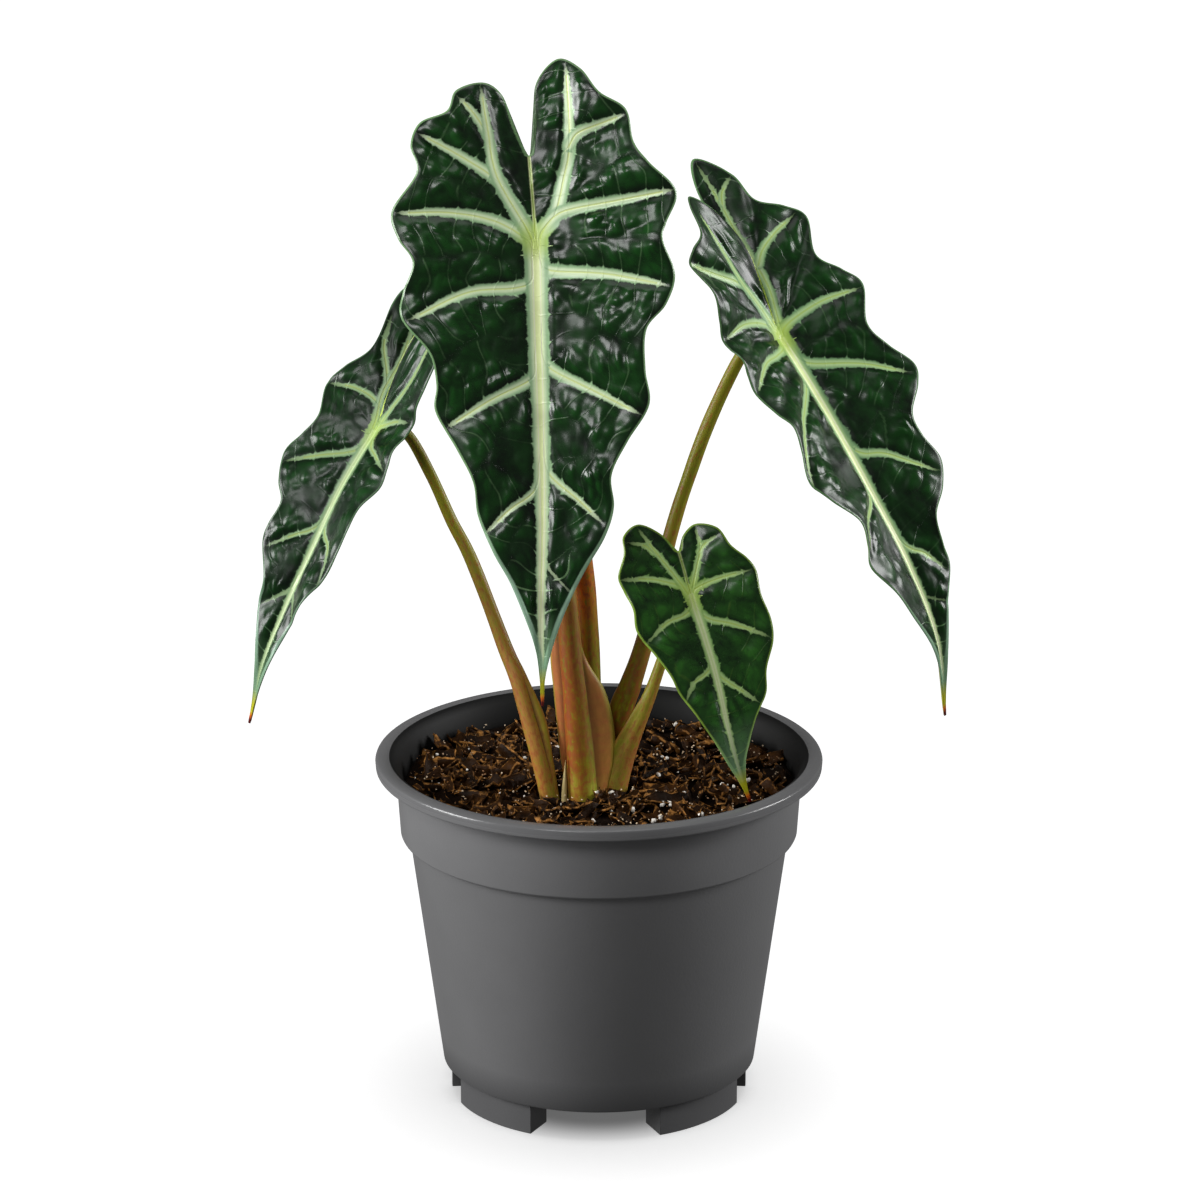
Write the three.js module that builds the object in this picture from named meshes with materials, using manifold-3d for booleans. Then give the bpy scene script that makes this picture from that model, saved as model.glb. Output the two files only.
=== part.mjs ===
// Potted alocasia: a grow pot with soil, a short corm, five stems and four leaf blades.
// Millimetres, +Z up, the front of the plant towards -Y. The pot stands on z = 0 at the origin.
import * as THREE from 'three';
import Module from 'manifold-3d';

const wasm = await Module();
wasm.setup();

const GAP = 0.3;            // clearance between pieces that touch

// Pot: a common 165 mm grow pot of dark plastic
const POT_SIDES = 48;
const RIM_RADIUS = 82.5;
const POT_HEIGHT = 131;
const LIP_DEPTH = 4.4;      // height of the lip's outer skirt
const SHOULDER_Z = 100;     // the step below the neck
const FOOT_HEIGHT = 12;
const FOOT_OUTER = 55.2;
const FOOT_INNER = 42.4;
const FLOOR_TOP = 14;
const DRAIN = { count: 8, radius: 4, ring: 30 };
// Spaces in the foot ring, from and to in degrees, counted from the front towards the right
const FOOT_GAPS = [[-27, 24], [69, 85.5], [94.5, 111], [153, 204], [249, 265.5], [274.5, 291]];

const SOIL_Z = 120.5;
const CHUNKS = 56;          // bark chunks fused to the soil's top
const GOLDEN_ANGLE = 2.39996;

const CORM = { x: -4, y: -17, top: 103.7, radius: 15, depth: 26 };
const STEM_FOOT_Z = 104;    // stems stand on the corm at this height

const BLADE_HALF = 0.4;     // half the thickness of a blade
const RIB_DEPTH = 1.5;      // how far the midrib stands out under the blade at the stem

// Seeded random numbers
let seed = 7;
function random() {
  seed = (seed * 16807) % 2147483647;
  return seed / 2147483647;
}

// A closed solid from rings of points, each ring with the same count, capped at both ends
function loft(rings) {
  const count = rings[0].length;
  const points = rings.flat();
  const faces = [];
  for (let i = 0; i + 1 < rings.length; i += 1) {
    for (let j = 0; j < count; j += 1) {
      const a = i * count + j;
      const b = i * count + ((j + 1) % count);
      faces.push([a, b, b + count], [a, b + count, a + count]);
    }
  }
  for (const [first, flip] of [[0, true], [(rings.length - 1) * count, false]]) {
    const middle = points.length;
    const cap = points.slice(first, first + count);
    points.push(cap.reduce((sum, p) => sum.add(p), new THREE.Vector3()).divideScalar(count));
    for (let j = 0; j < count; j += 1) {
      const a = first + j;
      const b = first + ((j + 1) % count);
      faces.push(flip ? [b, a, middle] : [a, b, middle]);
    }
  }
  return solid(points, faces);
}

// Points and triangles to a manifold solid
function solid(points, faces) {
  const mesh = new wasm.Mesh({
    numProp: 3,
    vertProperties: new Float32Array(points.flatMap((p) => [p.x, p.y, p.z])),
    triVerts: new Uint32Array(faces.flat()),
  });
  return new wasm.Manifold(mesh);
}

// A turned solid: a closed profile of [radius, z], given counter-clockwise with the axis on its left
function turned(profile, sides) {
  const section = new wasm.CrossSection([profile]);
  return section.revolve(sides);
}

// The largest of the pieces that a cut leaves
function largest(body) {
  return body.decompose().sort((a, b) => b.volume() - a.volume())[0];
}

// A manifold solid to a named mesh
function named(name, body, colour, roughness) {
  const mesh = body.getMesh();
  const geometry = new THREE.BufferGeometry();
  geometry.setAttribute('position', new THREE.BufferAttribute(Float32Array.from(mesh.vertProperties), 3));
  geometry.setIndex(new THREE.BufferAttribute(Uint32Array.from(mesh.triVerts), 1));
  geometry.computeVertexNormals();
  const node = new THREE.Mesh(geometry, new THREE.MeshStandardMaterial({ color: colour, roughness }));
  node.name = name;
  return node;
}

// A smooth value through the rows of a table; every column is followed alike
function through(rows, t) {
  const last = rows.length - 1;
  const i = Math.max(0, Math.min(Math.floor(t), last - 1));
  const f = t - i;
  const b = rows[i];
  const c = rows[i + 1];
  const a = rows[i - 1] ?? b.map((v, k) => 2 * v - c[k]);
  const d = rows[i + 2] ?? c.map((v, k) => 2 * v - b[k]);
  return b.map((v, k) => v + 0.5 * f * (c[k] - a[k]
    + f * (2 * a[k] - 5 * v + 4 * c[k] - d[k] + f * (3 * v - a[k] - 3 * c[k] + d[k]))));
}

// Pot
const innerWall = [[56.6, FLOOR_TOP], [68.3, 99], [71.6, 102], [72.4, SOIL_Z]];

function pot() {
  const lipBottom = POT_HEIGHT - LIP_DEPTH;
  const wall = turned([
    [0, FOOT_HEIGHT], [58.2, FOOT_HEIGHT], [70, SHOULDER_Z], [73.3, SHOULDER_Z + 2],
    [74.9, lipBottom - 2], [75.6, lipBottom + 0.9], [77.2, lipBottom + 2.5],
    [80.6, lipBottom + 2.7], [80.6, lipBottom], [RIM_RADIUS - 0.2, lipBottom],
    [RIM_RADIUS, POT_HEIGHT - 1.2], [RIM_RADIUS - 1, POT_HEIGHT], [77, POT_HEIGHT],
    [75.6, POT_HEIGHT - 1], [74.2, POT_HEIGHT - 3.5], [73.2, POT_HEIGHT - 7],
    ...innerWall.slice().reverse(), [0, FLOOR_TOP],
  ], POT_SIDES);
  const ring = turned([[FOOT_INNER, 0], [FOOT_OUTER, 0], [FOOT_OUTER, FLOOR_TOP - 1],
    [FOOT_INNER, FLOOR_TOP - 1]], POT_SIDES);
  let feet = ring;
  for (const [from, to] of FOOT_GAPS) {
    feet = feet.subtract(wedge(from, to));
  }
  let body = wall.add(feet);
  const drain = wasm.Manifold.cylinder(FLOOR_TOP, DRAIN.radius, DRAIN.radius, 16);
  for (let i = 0; i < DRAIN.count; i += 1) {
    const angle = (i + 0.5) * 2 * Math.PI / DRAIN.count;
    body = body.subtract(drain.translate([
      DRAIN.ring * Math.cos(angle), DRAIN.ring * Math.sin(angle), FOOT_HEIGHT / 2]));
  }
  return named('pot', body, 0x3b3c3e, 0.55);
}

// The space between two feet; the angles run from the front towards the right, in degrees
function wedge(from, to) {
  const reach = 90;
  const corner = (degrees) => {
    const a = degrees * Math.PI / 180;
    return [reach * Math.sin(a), -reach * Math.cos(a)];
  };
  const shape = new wasm.CrossSection([[[0, 0], corner(from), corner((from + to) / 2), corner(to)]]);
  return shape.extrude(FOOT_HEIGHT + 1).translate([0, 0, -1]);
}

// Leaf blades. A blade hangs on a smooth midrib: knots every `step` mm, from two steps above
// the stem's joint to the tip. Each outline row holds the place on the midrib, the margin's
// distance across and along on the right, the same on the left, and the margin's wave.
const blades = {
  leaf_main: {
    step: 33.2,
    knots: [[-28, 2.5, 393], [-25, -10.5, 362.5], [-22.5, -23, 332], [-21.5, -34.5, 301],
      [-20.5, -45, 269.5], [-20, -54.5, 237.5], [-20.5, -62, 205], [-20, -67.5, 172.5]],
    across: [1, -0.01, -0.03],
    fold: 9,
    lift: [0, 0],
    wave: 2,
    colour: 0x16351f,
    outline: [
      [-30, 1.2, -30.5, 1.2, -30.5, 0], [-29, 3, -41, 4.8, -41, 0.3], [-27, 4.6, -55, 7.6, -52, 0],
      [-24, 13, -63.5, 14, -57.5, -1], [-20, 21, -59, 24, -55, 0], [-16.5, 27, -49.5, 28, -47.5, 1],
      [-13, 36, -43, 38, -44.5, -1], [-10, 37.7, -31, 42, -36, 0], [-7, 42.5, -22.8, 40.6, -26, 1],
      [-4, 51.5, -12.5, 50.5, -13, -1], [0, 47, -2, 49, -2, 0], [4, 45.6, 3.5, 44, 8, 1],
      [10, 49.5, 14.5, 48, 19, -1], [17, 46, 25, 48.5, 28, -0.3], [25, 38.8, 34, 39, 40, 1],
      [35, 38, 48, 36.8, 51, 0.3], [45, 39, 60, 37.5, 60.5, -1], [57, 31, 72.5, 30, 74.5, 0],
      [69, 25, 84, 24.5, 86, 1], [81, 25.7, 95, 23, 98, -1], [92, 22.5, 105, 17.5, 111, 0],
      [105, 15.5, 117, 11, 122, 0], [120, 9, 131, 5, 136, 0], [136, 4, 145, 2, 146, 0],
      [150, 1.2, 156, 0.9, 155.5, 0], [166, 0.5, 166, 0.5, 166, 0],
    ],
  },
  leaf_right: {
    step: 31,
    knots: [[33.5, 24, 337], [49.5, 12, 313], [65.5, 0, 289.5], [81.5, -11.5, 265.5],
      [96.5, -22, 240.5], [111, -28, 213.5], [122, -29.5, 185], [126, -25, 154.5]],
    across: [0.65, 0.74, 0.19],
    fold: 20,
    lift: [0, 0.33],
    wave: 2,
    colour: 0x16351f,
    outline: [
      [-5, 0.8, -6, 0.8, -6, 0], [-4.6, 3, -22, 0.8, -20, 0.3], [-4.2, 3.5, -42, 3, -34, 0.3],
      [-3.8, 2, -60, 15, -48, 0], [-3.4, 9, -73.5, 26, -55, -1], [-3, 17.5, -62, 31.5, -51, 0],
      [-2.6, 18.6, -49.5, 33, -41, 1], [-2.2, 29, -43, 39, -37, -0.3], [-1.8, 35.5, -35.5, 42.5, -32, -1],
      [-1.4, 27.7, -21, 38.5, -20, 1], [-0.8, 34.8, -12, 38.8, -11, 0], [0, 40.2, -3.5, 39, -4.5, -1],
      [3, 30.5, 10.5, 37.5, 4, 1], [6, 34.5, 20.5, 37.5, 10, 0], [10, 41, 30.5, 37, 17, -1],
      [17, 36.8, 37.5, 34, 26.5, 0], [25, 27.8, 46, 31, 33.5, 1], [33, 28.5, 54.5, 32, 42.5, 0],
      [42, 32, 66, 35.5, 52.5, -1], [52, 26, 75.5, 31, 60.3, 0], [61, 17, 83, 21.5, 70.5, 1],
      [70, 16, 93, 22.5, 79, 0], [80, 16.5, 101.5, 25.2, 86, -1], [93, 9.5, 111.5, 18, 98.5, 0],
      [107, 6, 121, 13, 110, 0], [122, 3.3, 131, 5.5, 125, 0], [139, 1.5, 143, 1.2, 141, 0],
      [155, 0.5, 155, 0.5, 155, 0],
    ],
  },
  leaf_left: {
    step: 23.85,
    knots: [[-56.5, 20, 290.5], [-69, 9, 273], [-81, -0.5, 255], [-93, -9.5, 236.5],
      [-103, -17.5, 216.5], [-113, -22.5, 195.5], [-122, -24.5, 173.5], [-127.5, -22.5, 150.5]],
    across: [0.67, -0.71, -0.21],
    fold: 20,
    lift: [0.4, 0],
    wave: 1.5,
    colour: 0x16351f,
    outline: [
      [-5, 0.8, -6, 0.8, -6, 0], [-4.5, 1.5, -18, 1.5, -22, 0], [-4, 6, -34, 2, -42, 0.3],
      [-3.5, 14, -47, 6, -55, -0.5], [-3.1, 20, -50, 12, -58.5, -1], [-2.8, 26, -43, 18.5, -54, 0],
      [-2.4, 28.5, -33, 19.5, -45, 1], [-2, 26.5, -19, 16.8, -27, 1], [-1.2, 23.3, -11.5, 23, -16, 0],
      [0, 23.3, -6, 26.5, -7, -1], [3, 21, 4.5, 21, 5, 1], [7, 22, 11.5, 23.5, 13.5, 0],
      [12, 23, 19.5, 27, 21.5, -1], [19, 19.5, 29.5, 22.5, 31, 0.4], [26, 19.8, 38, 17.8, 37.5, 1],
      [34, 17.5, 46, 20, 47, -0.3], [42, 15.5, 56, 19.8, 54.5, -1], [52, 11.5, 67.5, 11.5, 66, 1],
      [63, 7.3, 79, 11.3, 75, -0.7], [75, 6, 91, 6, 86.5, 0.3], [90, 3, 103, 2.8, 97, 0],
      [105, 1.2, 112, 1, 108, 0], [119, 0.5, 119, 0.5, 119, 0],
    ],
  },
  leaf_small: {
    step: 16.15,
    knots: [[24, -18, 231], [28.5, -24.5, 217], [33, -30, 202.5], [38, -33.5, 187.5],
      [42.5, -36.5, 172.5], [46, -38.5, 157], [50, -39.5, 141], [55, -39, 126]],
    across: [0.95, 0.27, 0.16],
    fold: 7,
    lift: [0, 0],
    wave: 0.9,
    colour: 0x1c4424,
    outline: [
      [-16, 1, -16.5, 1, -16.5, 0], [-15.3, 3.2, -21, 4.5, -23.5, 0], [-14, 9, -24, 11.5, -29, -1],
      [-12, 16, -20.5, 18.5, -26, 0], [-9.5, 18.8, -13, 20.6, -19.5, 1],
      [-7, 23.5, -7, 24.6, -12.5, -0.5], [-4, 25.5, -1, 24, -6.5, -1], [1, 24.1, 8.5, 23, -0.5, 1],
      [6, 25.2, 17.5, 23.8, 6.5, -1], [12, 23.5, 25, 20.5, 16, 0], [19, 18.2, 33.5, 17, 26, 1],
      [26, 16.5, 42, 15, 34.5, -1], [34, 10.5, 50.3, 10.5, 44.5, 0.5],
      [43, 6.5, 58, 6.7, 53.5, 0], [53, 3, 65.5, 4, 62, 0], [66, 1, 74, 1.3, 72.5, 0],
      [80.8, 0.5, 80.8, 0.5, 80.8, 0],
    ],
  },
};

// A point of a blade's middle surface at u across and v along, raised by h
function bladePoint(blade, side, u, v, h) {
  const t = v / blade.step + 2;
  const here = new THREE.Vector3(...through(blade.knots, t));
  const along = new THREE.Vector3(...through(blade.knots, t + 0.02))
    .sub(new THREE.Vector3(...through(blade.knots, t - 0.02))).normalize();
  const across = new THREE.Vector3(...blade.across).addScaledVector(along,
    -along.dot(new THREE.Vector3(...blade.across))).normalize();
  const normal = along.clone().cross(across);
  const fold = blade.fold * Math.PI / 180;
  const lift = blade.lift[side > 0 ? 0 : 1] * Math.max(0, -v);
  return here.addScaledVector(across, side * u * Math.cos(fold))
    .addScaledVector(normal, u * Math.sin(fold) + lift + h);
}

// A blade as one closed sheet; `grow` thickens it to cut a seat for it
function bladeSolid(blade, grow) {
  const steps = (blade.outline.length - 1) * 2;
  const shares = [0, 0.08, 0.36, 0.7, 1];      // rows of points from the midrib to the margin
  const columns = [...shares.slice(1).reverse().map((s) => -s), ...shares];
  const length = blade.outline.at(-1)[0];
  const points = [];
  for (const face of [1, -1]) {
    for (let i = 0; i <= steps; i += 1) {
      const [middle, rightU, rightV, leftU, leftV, wave] = through(blade.outline, i / 2);
      for (const column of columns) {
        const share = Math.abs(column);
        const u = share * (column > 0 ? rightU : leftU);
        const v = middle + share * ((column > 0 ? rightV : leftV) - middle);
        const rib = column === 0 && face < 0 ? RIB_DEPTH * (1 - 0.85 * Math.max(0, v) / length) : 0;
        const h = blade.wave * wave * share * share + face * (BLADE_HALF + grow) - rib;
        points.push(bladePoint(blade, column < 0 ? -1 : 1, u, v, h));
      }
    }
  }
  const wide = columns.length;
  const under = wide * (steps + 1);
  const faces = [];
  for (let i = 0; i < steps; i += 1) {
    for (let j = 0; j + 1 < wide; j += 1) {
      const a = i * wide + j;
      faces.push([a, a + wide, a + wide + 1], [a, a + wide + 1, a + 1]);
      faces.push([under + a, under + a + wide + 1, under + a + wide]);
      faces.push([under + a, under + a + 1, under + a + wide + 1]);
    }
  }
  const top = columns.map((_, j) => j);
  const sides = Array.from({ length: steps - 1 }, (_, i) => (i + 1) * wide);
  const border = [...top, ...sides.map((a) => a + wide - 1),
    ...top.map((j) => steps * wide + j).reverse(), ...sides.reverse()];
  border.forEach((a, k) => {
    const b = border[(k + 1) % border.length];
    faces.push([a, b, under + b], [a, under + b, under + a]);
  });
  return solid(points, faces);
}

// Stems. Each row is x, y, z, the stem's radius, and how far the edges of its sheath stand out
// on the first and second side. `edges` are their directions, in degrees from +X towards +Y.
const stems = {
  stem_main: {
    edges: [-5, 165],
    rows: [[-5.5, -18, 100, 4.9, 0, 0], [-5.9, -18, 120, 5.6, 0.6, 0.5], [-6.6, -18, 133, 5.2, 4.4, 2.4],
      [-7.6, -17.6, 145, 4.8, 9, 3.2], [-8.8, -17, 160, 4.4, 7.5, 3.8], [-10.4, -15.5, 178, 4.1, 0, 3.8],
      [-13.5, -11, 215, 3.5, 0, 0], [-17.5, -4.5, 262, 2.9, 0, 0], [-21, -1.5, 305, 2.5, 0, 0],
      [-22.3, -7.5, 327, 2.4, 0, 0], [-22.5, -22.8, 332, 2.4, 0, 0]],
  },
  stem_right: {
    edges: [190, 0],
    rows: [[2.3, -2, 100, 3.8, 0, 0], [3.6, -2.2, 121, 4.2, 0, 0], [6.2, -2.8, 136, 4.1, 1, 0],
      [9.2, -3, 150.6, 3.9, 1.4, 0], [12.1, -3, 159.5, 3.7, 0.8, 0], [17.1, -2, 177, 3.2, 0, 0],
      [26.2, 1.5, 215.3, 2.65, 0, 0], [32.7, 4, 236.2, 2.5, 0, 0], [40.3, 6, 257.2, 2.5, 0, 0],
      [50.5, 8.2, 279, 2.3, 0, 0], [57, 6.5, 287.5, 2.3, 0, 0], [65.4, 0.1, 289.4, 2.3, 0, 0]],
  },
  stem_left: {
    edges: [-10, 180],
    rows: [[-14.5, -20, 100, 3.2, 0, 0], [-18.1, -20, 121, 3.4, 0.3, 0], [-21, -19, 134, 3.4, 1.2, 0],
      [-25, -16, 148.5, 3.3, 2.6, 0], [-29.6, -12, 163.7, 3, 0.8, 0], [-34.5, -8, 175.5, 2.7, 0, 0],
      [-46, 0.5, 204.6, 2.4, 0, 0], [-53.8, 4.5, 219.6, 2.2, 0, 0], [-61.5, 6.8, 236.7, 2.1, 0, 0],
      [-69, 8, 250.5, 2, 0, 0], [-75, 5.5, 254.5, 2, 0, 0], [-80.9, -0.4, 254.9, 2, 0, 0]],
  },
  stem_small: {
    edges: [200, 0],
    rows: [[2.9, -13, 100, 4, 0, 0], [5.4, -12.6, 121, 4.9, 1.4, 0], [8.8, -12.6, 133.5, 4.2, 2.2, 0],
      [12, -13, 142, 3.4, 1.8, 0], [16, -13.4, 152, 2.8, 0.8, 0], [19.8, -13.4, 162, 2.3, 0, 0],
      [26, -12.6, 181, 1.8, 0, 0], [31.5, -14.5, 198, 1.6, 0, 0], [33.2, -20, 204, 1.6, 0, 0],
      [33, -29.8, 202.5, 1.6, 0, 0]],
  },
  stem_back: {
    edges: [10, 180],
    rows: [[-3.9, -6.8, 100, 3.3, 0, 0], [-4.4, -6.8, 121, 3.8, 0.6, 0], [-3.2, -7, 150, 3.9, 0.4, 1],
      [-4.2, -6.5, 190, 3.6, 0, 0.6], [-6.5, -5.5, 215, 3.3, 0, 0],
      [-9.5, -4, 245, 2.6, 0, 0], [-12, -3, 268, 1.6, 0, 0], [-13.5, -2.5, 284, 0.5, 0, 0]],
  },
};

// A stem swept along its rows; `grow` widens it to bore its hole in the soil
function stemSolid(stem, grow) {
  const sides = 12;
  const between = 3;          // rings from one row of the table to the next
  const steps = (stem.rows.length - 1) * between;
  const first = stem.edges[0] * Math.PI / 180;
  const second = (stem.edges[1] - stem.edges[0]) * Math.PI / 180;
  const rings = [];
  for (let i = 0; i <= steps; i += 1) {
    const [x, y, z, radius, wing, other] = through(stem.rows, i / between);
    const ahead = new THREE.Vector3(...through(stem.rows, Math.min(i + 0.1, steps) / between));
    const behind = new THREE.Vector3(...through(stem.rows, Math.max(i - 0.1, 0) / between));
    const along = ahead.sub(behind).normalize();
    const right = new THREE.Vector3(Math.cos(first), Math.sin(first), 0);
    right.addScaledVector(along, -along.dot(right)).normalize();
    const back = along.clone().cross(right);
    const ring = [];
    for (let j = 0; j < sides; j += 1) {
      const angle = j * 2 * Math.PI / sides;
      const reach = radius + grow + Math.max(0, wing) * Math.max(0, Math.cos(angle)) ** 6
        + Math.max(0, other) * Math.max(0, Math.cos(angle - second)) ** 6;
      ring.push(new THREE.Vector3(x, y, z).addScaledVector(right, reach * Math.cos(angle))
        .addScaledVector(back, reach * Math.sin(angle)));
    }
    rings.push(ring);
  }
  return loft(rings).trimByPlane([0, 0, 1], STEM_FOOT_Z - grow * 0.5);
}

// Soil: fills the pot, with bark chunks standing out of an uneven top
function soil() {
  const outer = innerWall.map(([radius, z]) => [radius - GAP, z]);
  outer[0][1] += GAP;
  let body = turned([[0, FLOOR_TOP + GAP], ...outer, [0, SOIL_Z]], POT_SIDES);
  for (let i = 0; i < CHUNKS; i += 1) {
    const reach = 67 * Math.sqrt((i + 0.5) / CHUNKS);
    const angle = i * GOLDEN_ANGLE;
    const size = 2.6 + 2.2 * random();
    const chunk = wasm.Manifold.cube([size * 1.8, size * 1.1, size * 0.8], true)
      .rotate([50 * random() - 25, 50 * random() - 25, 360 * random()])
      .translate([reach * Math.cos(angle), reach * Math.sin(angle), SOIL_Z + 0.4 * random()]);
    body = body.add(chunk);
  }
  body = body.subtract(cormSolid(GAP));
  for (const stem of Object.values(stems)) {
    body = body.subtract(stemSolid(stem, GAP));
  }
  return named('soil', body, 0x2a1d14, 0.95);
}

// Corm: the short thick base under the soil from which the stems grow
function cormSolid(grow) {
  const { x, y, top, radius, depth } = CORM;
  const profile = [[0, top - depth - grow], [radius * 0.5 + grow, top - depth - grow],
    [radius + grow, top - depth * 0.45], [radius + grow, top - 3], [radius - 1 + grow, top + grow],
    [0, top + grow]];
  return turned(profile, 20).translate([x, y, 0]);
}

const group = new THREE.Group();
group.name = 'potted_alocasia';
group.add(pot());
group.add(soil());
group.add(named('corm', cormSolid(0), 0x6b4a2c, 0.9));
for (const [name, blade] of Object.entries(blades)) {
  group.add(named(name, bladeSolid(blade, 0), blade.colour, 0.35));
}
const carries = {
  stem_main: 'leaf_main', stem_right: 'leaf_right', stem_left: 'leaf_left', stem_small: 'leaf_small',
};
for (const [name, stem] of Object.entries(stems)) {
  let body = stemSolid(stem, 0);
  if (carries[name]) {
    body = largest(body.subtract(bladeSolid(blades[carries[name]], GAP)));
  }
  group.add(named(name, body, 0x6f6a24, 0.5));
}

export default group;
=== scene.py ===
"""A potted alocasia in a dark grow pot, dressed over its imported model. Metres, +Z up, front towards -Y."""
import math
import random

import bmesh
import bpy
from mathutils import Matrix, Vector, kdtree, noise


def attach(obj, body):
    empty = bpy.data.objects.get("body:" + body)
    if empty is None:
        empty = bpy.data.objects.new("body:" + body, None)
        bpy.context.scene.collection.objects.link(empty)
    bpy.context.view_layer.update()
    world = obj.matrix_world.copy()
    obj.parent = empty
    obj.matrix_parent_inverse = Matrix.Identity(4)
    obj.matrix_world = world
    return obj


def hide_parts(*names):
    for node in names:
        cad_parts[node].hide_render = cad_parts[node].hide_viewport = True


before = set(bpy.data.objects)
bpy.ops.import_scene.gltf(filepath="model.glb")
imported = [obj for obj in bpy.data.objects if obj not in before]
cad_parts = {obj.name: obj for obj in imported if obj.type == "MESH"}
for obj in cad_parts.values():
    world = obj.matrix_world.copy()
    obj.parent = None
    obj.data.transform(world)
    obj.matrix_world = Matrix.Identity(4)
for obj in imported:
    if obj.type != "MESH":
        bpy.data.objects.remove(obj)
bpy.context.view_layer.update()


# Studio: a seamless white floor and four soft boxes: left, right, front and a weak one overhead,
# seen through a long lens from a little above. The floor has a lamp of its own, straight above,
# so the pot alone throws a soft shade round its feet, and under the pot the floor's own glow is
# turned down: a painted contact shadow. None of it is part of the plant.
MM = 0.001

pitch = math.radians(17.8)
aim = Vector((0.4 * MM, 0, 190.5 * MM))
camera = bpy.data.objects.new("camera", bpy.data.cameras.new("camera"))
camera.location = aim + 2.0 * Vector((0, -math.cos(pitch), math.sin(pitch)))
camera.rotation_euler = (math.pi / 2 - pitch, 0, 0)
camera.data.sensor_width = 36
camera.data.lens = 164.09
camera.data.clip_end = 50
bpy.context.collection.objects.link(camera)
bpy.context.scene.camera = camera
bpy.context.scene.view_settings.view_transform = "Standard"


def colour(red, green, blue):
    """A screen colour of 0 to 255 as the linear one that a shader takes"""
    def linear(value):
        value = value / 255
        return value / 12.92 if value <= 0.04045 else ((value + 0.055) / 1.055) ** 2.4
    return (linear(red), linear(green), linear(blue), 1)


def finish(name):
    """A new material, its node tree and its main shader"""
    material = bpy.data.materials.new(name)
    material.use_nodes = True
    return material, material.node_tree, material.node_tree.nodes["Principled BSDF"]


def add(tree, kind, inputs, **settings):
    """A node whose inputs are linked or set by name or number; returns its first live output"""
    made = tree.nodes.new(kind)
    for key, value in settings.items():
        setattr(made, key, value)
    for key, value in inputs.items():
        if isinstance(value, bpy.types.NodeSocket):
            tree.links.new(value, made.inputs[key])
        else:
            made.inputs[key].default_value = value
    return next(out for out in made.outputs if out.enabled)


def calc(tree, operation, *values):
    """A sum of sockets and numbers"""
    return add(tree, "ShaderNodeMath", dict(enumerate(values)), operation=operation)


def fade(tree, value, start, end, low=0, high=1, curve="LINEAR"):
    """A value that runs from start to end brought to run from low to high, and no further"""
    return add(tree, "ShaderNodeMapRange", {"Value": value, "From Min": start, "From Max": end,
                                            "To Min": low, "To Max": high}, interpolation_type=curve)


def on_object(tree):
    """The place on the object, which a pattern is laid over"""
    return tree.nodes.new("ShaderNodeTexCoord").outputs["Object"]


def soft_box(name, place, target, size, power):
    """A square area light that looks from a place to a target"""
    lamp = bpy.data.lights.new(name, "AREA")
    lamp.shape = "SQUARE"
    lamp.size = size
    lamp.energy = power
    box = bpy.data.objects.new(name, lamp)
    box.location = place
    box.rotation_euler = (Vector(target) - Vector(place)).to_track_quat("-Z", "Y").to_euler()
    bpy.context.collection.objects.link(box)


soft_box("left_box", (-1.9, -0.35, 0.75), (0, 0, 0.2), 1.0, 53)
soft_box("right_box", (1.8, 0.25, 0.8), (0, 0, 0.2), 0.8, 32)
soft_box("front_box", (-0.7, -1.9, 1.9), (0, 0, 0.2), 0.8, 22)
soft_box("top_box", (0.1, -0.1, 2.0), (0, 0, 0.1), 1.0, 5)

world = bpy.data.worlds.new("studio")
world.use_nodes = True
world.node_tree.nodes["Background"].inputs["Color"].default_value = (1, 1, 1, 1)
world.node_tree.nodes["Background"].inputs["Strength"].default_value = 0.13
bpy.context.scene.world = world

floor_finish, tree, shader = finish("floor_paper")
shader.inputs["Base Color"].default_value = (0.8, 0.8, 0.8, 1)
shader.inputs["Roughness"].default_value = 1.0
shader.inputs["Specular IOR Level"].default_value = 0.0
shader.inputs["Emission Color"].default_value = (1, 1, 1, 1)
# Painted contact shadow: the floor's glow falls from 0.68 to 0.12 within 62 mm of the pot's middle.
from_pot = add(tree, "ShaderNodeVectorMath", {0: on_object(tree)}, operation="LENGTH")
glow = fade(tree, from_pot, 0.036, 0.062, 0.12, 0.68, curve="SMOOTHSTEP")
tree.links.new(glow, shader.inputs["Emission Strength"])
sheet = bmesh.new()
bmesh.ops.create_grid(sheet, x_segments=8, y_segments=8, size=40.0)
floor = bpy.data.objects.new("floor", bpy.data.meshes.new("floor"))
sheet.to_mesh(floor.data)
sheet.free()
floor.data.materials.append(floor_finish)
floor.visible_glossy = False
floor.visible_diffuse = False
bpy.context.collection.objects.link(floor)
sky = bpy.data.lights.new("sky_on_paper", "SUN")
sky.energy = 1.3
sky.angle = math.radians(38)
sky_lamp = bpy.data.objects.new("sky_on_paper", sky)
bpy.context.collection.objects.link(sky_lamp)
paper_only = bpy.data.collections.new("paper_only")
paper_only.objects.link(floor)
sky_lamp.light_linking.receiver_collection = paper_only
not_paper = bpy.data.collections.new("not_paper")
not_paper.objects.link(floor)
not_paper.collection_objects[0].light_linking.link_state = "EXCLUDE"
pot_shadow = bpy.data.collections.new("pot_shadow")
sky_lamp.light_linking.blocker_collection = pot_shadow
for lamp in [item for item in bpy.data.objects if item.type == "LIGHT" and item is not sky_lamp]:
    lamp.light_linking.receiver_collection = not_paper


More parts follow.
